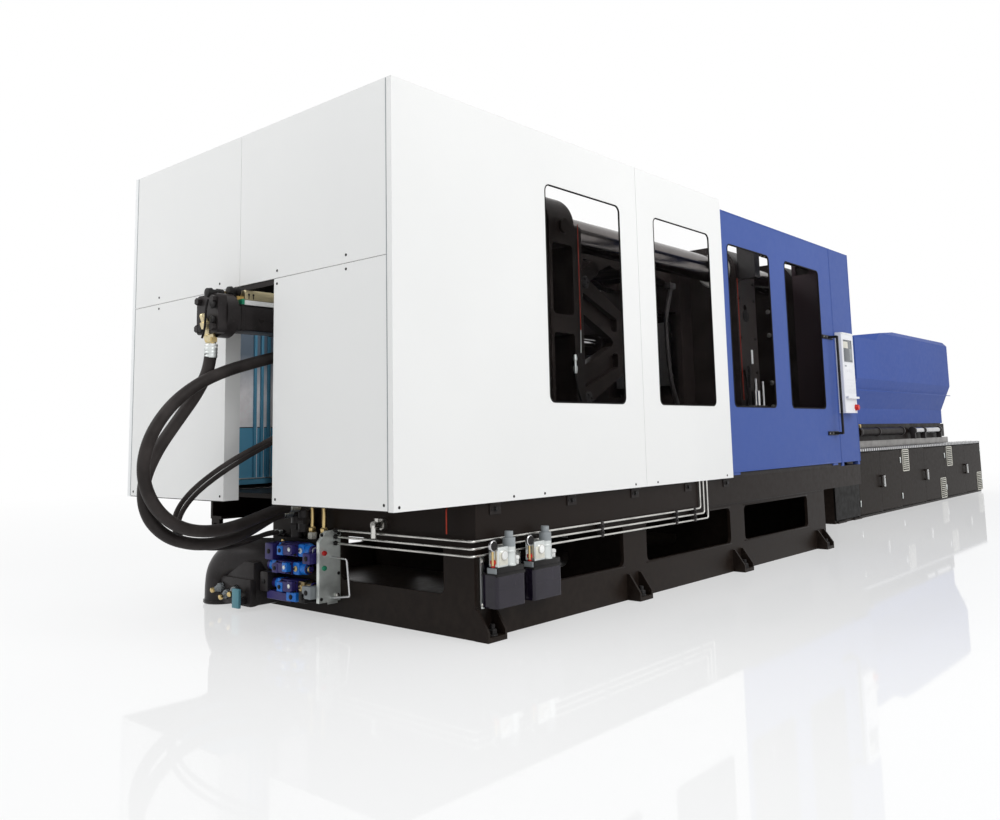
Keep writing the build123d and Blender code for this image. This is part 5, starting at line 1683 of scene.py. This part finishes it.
@dataclass
class LubeDressing:
    """Lids, gauges, knobs and sight strips of the two lubricators, with their brackets."""

    units: tuple[tuple[float, float], ...] = ((507.0, 690.0), (744.0, 941.0))
    front: float = -1006.0

    def build(self) -> None:
        """Make the pieces."""
        for i, (x0, x1) in enumerate(self.units):
            number = i + 1
            self._lid(Form("lube_lid_%d" % number), x0, x1)
            oil = Form("lube_oil_%d" % number)
            oil.block((x0 + 5, -1086, 134), (x1 - 5, self.front, 204), 10.0)
            oil.build(Finish.TANK_FULL, "tank_clear", FRAME)
            strap = Form("lube_bracket_%d" % number)
            for x in (x0 - 4, x1 - 18):
                strap.block((x, self.front, 124), (x + 22, -997, 330), 1.5)
            for x in (x0 + 7, x1 - 7):
                for z in (138, 316):
                    strap.bolt((x, self.front, z), (0, -1, 0), 13, Finish.TUBE)
            strap.build(Finish.ZINC, "nut_steel", FRAME)

    def _lid(self, lid: Form, x0: float, x1: float) -> None:
        """Make the lid of one lubricator with its motor, gauge, filler and knobs.

        Args:
            lid: The empty piece.
            x0: The tank's start.
            x1: The tank's end.
        """
        mid = (x0 + x1) / 2
        lid.block((x0 + 1, -1091, 256), (x1 - 1, -1004, 268), 3.0, Finish.BLACK)
        lid.block((x0 + 7, -1089, 266), (x1 - 7, -1026, 292), 5.0, Finish.BLACK)
        lid.block((x0 + 16, -1085, 292), (mid - 10, -1034, 374), 4.0, Finish.ZINC)
        lid.block((x0 + 22, -1087, 300), (mid - 16, -1083, 352), 1.5, Finish.CREAM)
        motor = [(0, 30), (0.08, 30), (0.1, 27.6), (0.5, 27.6), (0.52, 29.5), (0.58, 29.5), (0.6, 27.6), (1, 26)]
        filler = [(0, 13), (0.5, 13), (0.6, 16), (0.9, 16), (1, 12)]
        knob = [(0, 9), (0.4, 9), (0.5, 13), (0.9, 13), (1, 8)]
        lid.turn((mid + 26, -1058, 290), Axis.Z, 106, motor, 32, Finish.ZINC)
        lid.turn((mid + 26, -1058, 396), Axis.Z, 20, collar(12, 14, 9, 0.3, 0.8), 24, Finish.RED)
        lid.turn((x1 - 24, -1058, 292), Axis.Z, 34, filler, 20, Finish.WHITE)
        lid.turn((mid - 40, -1082, 340), Axis.Y, -11, collar(19, 20, 17.5, 0.6), 32, Finish.TUBE)
        lid.turn((mid - 40, -1092.4, 340), Axis.Y, -1, [(0, 16.5), (1, 16)], 32, Finish.WHITE)
        lid.turn((x0 + 16, -1058, 292), Axis.Z, 30, knob, 20, Finish.RED)
        lid.turn((x0 + 4, -1062, 380), Axis.Y, -14, collar(20, 23, 20, 0.2, 0.8), 28, Finish.BAR)
        lid.turn((x0 + 4, -1076, 380), Axis.Y, -1, [(0, 19), (1, 19)], 28, Finish.BLACK)
        lid.drum((x0 + 4, -1066, 300), (x0 + 4, -1066, 360), 5.0, Finish.BRASS, 12)
        lid.build(Finish.BLACK, "handle_black", FRAME)


@dataclass
class BaseDressing:
    """Foot bolts, weld beads and line clamps of the black base."""

    near_feet: tuple[float, ...] = (529.5, 1655.5, 2790.5, 4043.0)
    far_feet: tuple[float, ...] = (1001.5, 1655.5, 2790.5, 4043.0)
    openings: tuple[tuple[float, float], ...] = ((660, 1575), (1790, 2723), (2905, 3859))

    def build(self) -> None:
        """Make the pieces."""
        bolts = Form("foot_bolts")
        for side, feet in ((-1, self.near_feet), (1, self.far_feet)):
            y = side * 1040.0
            for x in feet:
                bolts.turn((x, y, 20), Axis.Z, 6, cap(24, 22), 24)
                bolts.turn((x, y, 26), Axis.Z, 20, collar(20, 21, 18, 0.1, 0.85), 6)
                bolts.turn((x, y, 46), Axis.Z, 20, cap(11, 9, 0.9), 16)
        bolts.build(Finish.DARK_CASTING, "nut_steel", FRAME)
        beads = Form("base_seams")
        for side in (-1, 1):
            self._bead(beads, side, 5, (480, 4160), (394, 399.5), 1.6)
            for x0, x1 in self.openings:
                for z in (160, 373):
                    self._bead(beads, side, 2, (x0 - 6, x1 + 6), (z, z + 7), 1.0)
        beads.build(Finish.BASE, "base_black", FRAME)
        clamps = Form("tube_clamp_bolts")
        for x in TUBE_CLAMPS:
            for z in (385, 355):
                clamps.bolt((x + 10, -1026, z), (0, -1, 0), 10)
        clamps.build(Finish.DARK_CASTING, "nut_steel", FRAME)

    def _bead(self, form: Form, side: int, depth: float, x: tuple[float, float], z: tuple[float, float],
              bevel: float) -> None:
        """Add one bead along a side of the base.

        Args:
            form: The piece it is part of.
            side: -1 on the operator's side, 1 on the far one.
            depth: How far it stands out.
            x: Its start and end.
            z: Its lower and upper edge.
            bevel: Edge rounding.
        """
        low, high = sorted((side * 996.0, side * (996.0 + depth)))
        form.block((x[0], low, z[0]), (x[1], high, z[1]), bevel)


@dataclass
class CabinetDressing:
    """Latches, hinge caps, hems and vents of the row of cabinets, and the tread's screws."""

    face: float = -501.5
    gap: float = 1.5
    splits: tuple[float, ...] = (6242.0, 6839.0, 7432.0, 8230.0, 8985.0, 9807.0, 10545.0)
    vents: dict[int, tuple[float, float, float, float]] = field(default_factory=lambda: {
        2: (7522, 7695, 393, 584), 3: (8790, 8969, 40, 232), 4: (9090, 9280, 387, 578),
        5: (10338, 10515, 40, 232)})
    slats: int = 9
    screws: int = 16
    screw_pitch: float = 320.0

    def build(self) -> None:
        """Make the pieces."""
        for i, (x0, x1) in enumerate(zip(self.splits, self.splits[1:])):
            self._door(i, x0 + self.gap, x1 - self.gap)
        tread = Form("tread_screws")
        for k in range(self.screws):
            for y in (-420, -360):
                tread.turn((5700 + self.screw_pitch * k, y, 634), Axis.Z, 3, cap(9, 6, 0.5), 16)
        tread.build(Finish.TUBE, "tread", FRAME)

    def _door(self, door: int, x0: float, x1: float) -> None:
        """Make one door's latch, hinge caps, hems and vent.

        Args:
            door: The door's number, from 0.
            x0: Its start.
            x1: Its end.
        """
        form = Form("door_trim_%d" % (door + 1))
        pivot = x0 + 3
        if door % 2:
            pivot = x1 - 3
            x = x0 + 36
            form.block((x - 8, self.face - 28, 258), (x + 8, self.face - 14, 366), 4.0, Finish.WHITE)
            form.turn((x, self.face - 28, 346), Axis.Y, -3, cap(6, 4), 20, Finish.DRIVE)
        knuckles = [(0, 4), (0.04, 5.4), (0.48, 5.4), (0.5, 4.4), (0.52, 5.4), (0.96, 5.4), (1, 4)]
        for z in (106, 466):
            form.turn((pivot, self.face - 3, z), Axis.Z, 58, knuckles, 14, Finish.ZINC)
        for z in (31, 591):
            form.block((x0 + 1, self.face - 1.1, z), (x1 - 1, self.face, z + 6), 0.4)
        if door in self.vents:
            self._vent(form, *self.vents[door])
        form.build(Finish.CABINET, "cabinet_black", "door_body_%d" % (door + 1))

    def _vent(self, form: Form, x0: float, x1: float, z0: float, z1: float) -> None:
        """Add the pale slatted vent of one door.

        Args:
            form: The door's piece.
            x0: Its start.
            x1: Its end.
            z0: Its lower edge.
            z1: Its upper edge.
        """
        form.rim((x0 - 5, z0 - 5), (x1 + 5, z1 + 5), self.face - 3, self.face - 0.2, 6.0, 12.0, Finish.CREAM)
        for k in range(self.slats):
            z = z0 + 8 + (z1 - z0 - 22) * k / (self.slats - 1)
            form.block((x0 + 6, self.face - 6, z), (x1 - 6, self.face - 0.5, z + 11), 2.0, Finish.CREAM)


@dataclass
class HoodDressing:
    """Seam of the injection cover, with the details of the cylinders and heaters under it."""

    body: str = "carriage_body"
    rod_y: float = 400.0
    rod_z: float = 790.0

    def build(self) -> None:
        """Make the pieces."""
        seam = Form("hood_trim")
        seam.block((6440, -474.2, 1188), (9535, -473, 1196), 0.4)
        seam.build(Finish.HOOD, "gate_blue", self.body)
        z = self.rod_z
        tube = Form("shot_cylinder")
        for y in (-self.rod_y, self.rod_y):
            tube.drum((8250, y, z), (9240, y, z), 30.0, Finish.BAR, 28)
            for x in (8240, 8600, 9200):
                tube.turn((x, y, z), Axis.X, 40, collar(32, 40, 32), 28, Finish.DRIVE)
                tube.block((x + 6, y - 26, 700), (x + 34, y + 26, z), 3.0, Finish.DRIVE)
        tube.build(Finish.BAR, "bar_chrome", self.body)
        rods = Form("pull_cylinder_trim")
        for y in (-self.rod_y, self.rod_y):
            for x in (6600, 7100, 7840):
                rods.turn((x, y, z), Axis.X, 22, collar(40, 46, 40), 32, Finish.DRIVE)
            rods.turn((6530, y, z), Axis.X, 70, collar(16, 20, 16, 0.3), 24)
            rods.turn((6640, y, 832), Axis.Z, 32, collar(12, 15, 11, 0.3, 0.8), 6, Finish.BRASS)
        rods.build(Finish.BAR, "bar_chrome", self.body)
        bands = Form("heater_clamps")
        for x in range(4900, 6300, 200):
            for dx in (6, 150):
                bands.turn((x + dx, 0, 1390), Axis.X, 14, collar(84, 87, 84), 40)
            bands.block((x + 66, -13, 1470), (x + 104, 13, 1497), 3.0, Finish.WHITE)
        bands.build(Finish.TUBE, "heater", self.body)


class Machine:
    """The whole picture, built in order."""

    def __init__(self) -> None:
        """Name the stages."""
        self.stages = (Studio(), HydraulicHoses(), SkinDressing(), CoverDressing(), GateDressing(), ControlStation(),
                       PlatenDressing(), CylinderDressing(), HydraulicBay(), LubeDressing(), BaseDressing(),
                       CabinetDressing(), HoodDressing())

    def build(self) -> None:
        """Run every stage."""
        for stage in self.stages:
            LOG.info("stage %s", type(stage).__name__)
            stage.build()


def main() -> None:
    """Build the picture."""
    logging.basicConfig(level=logging.INFO, format="%(name)s: %(message)s")
    scene = bpy.context.scene
    scene.view_settings.view_transform = "Standard"
    Machine().build()


if __name__ == "__main__":
    main()
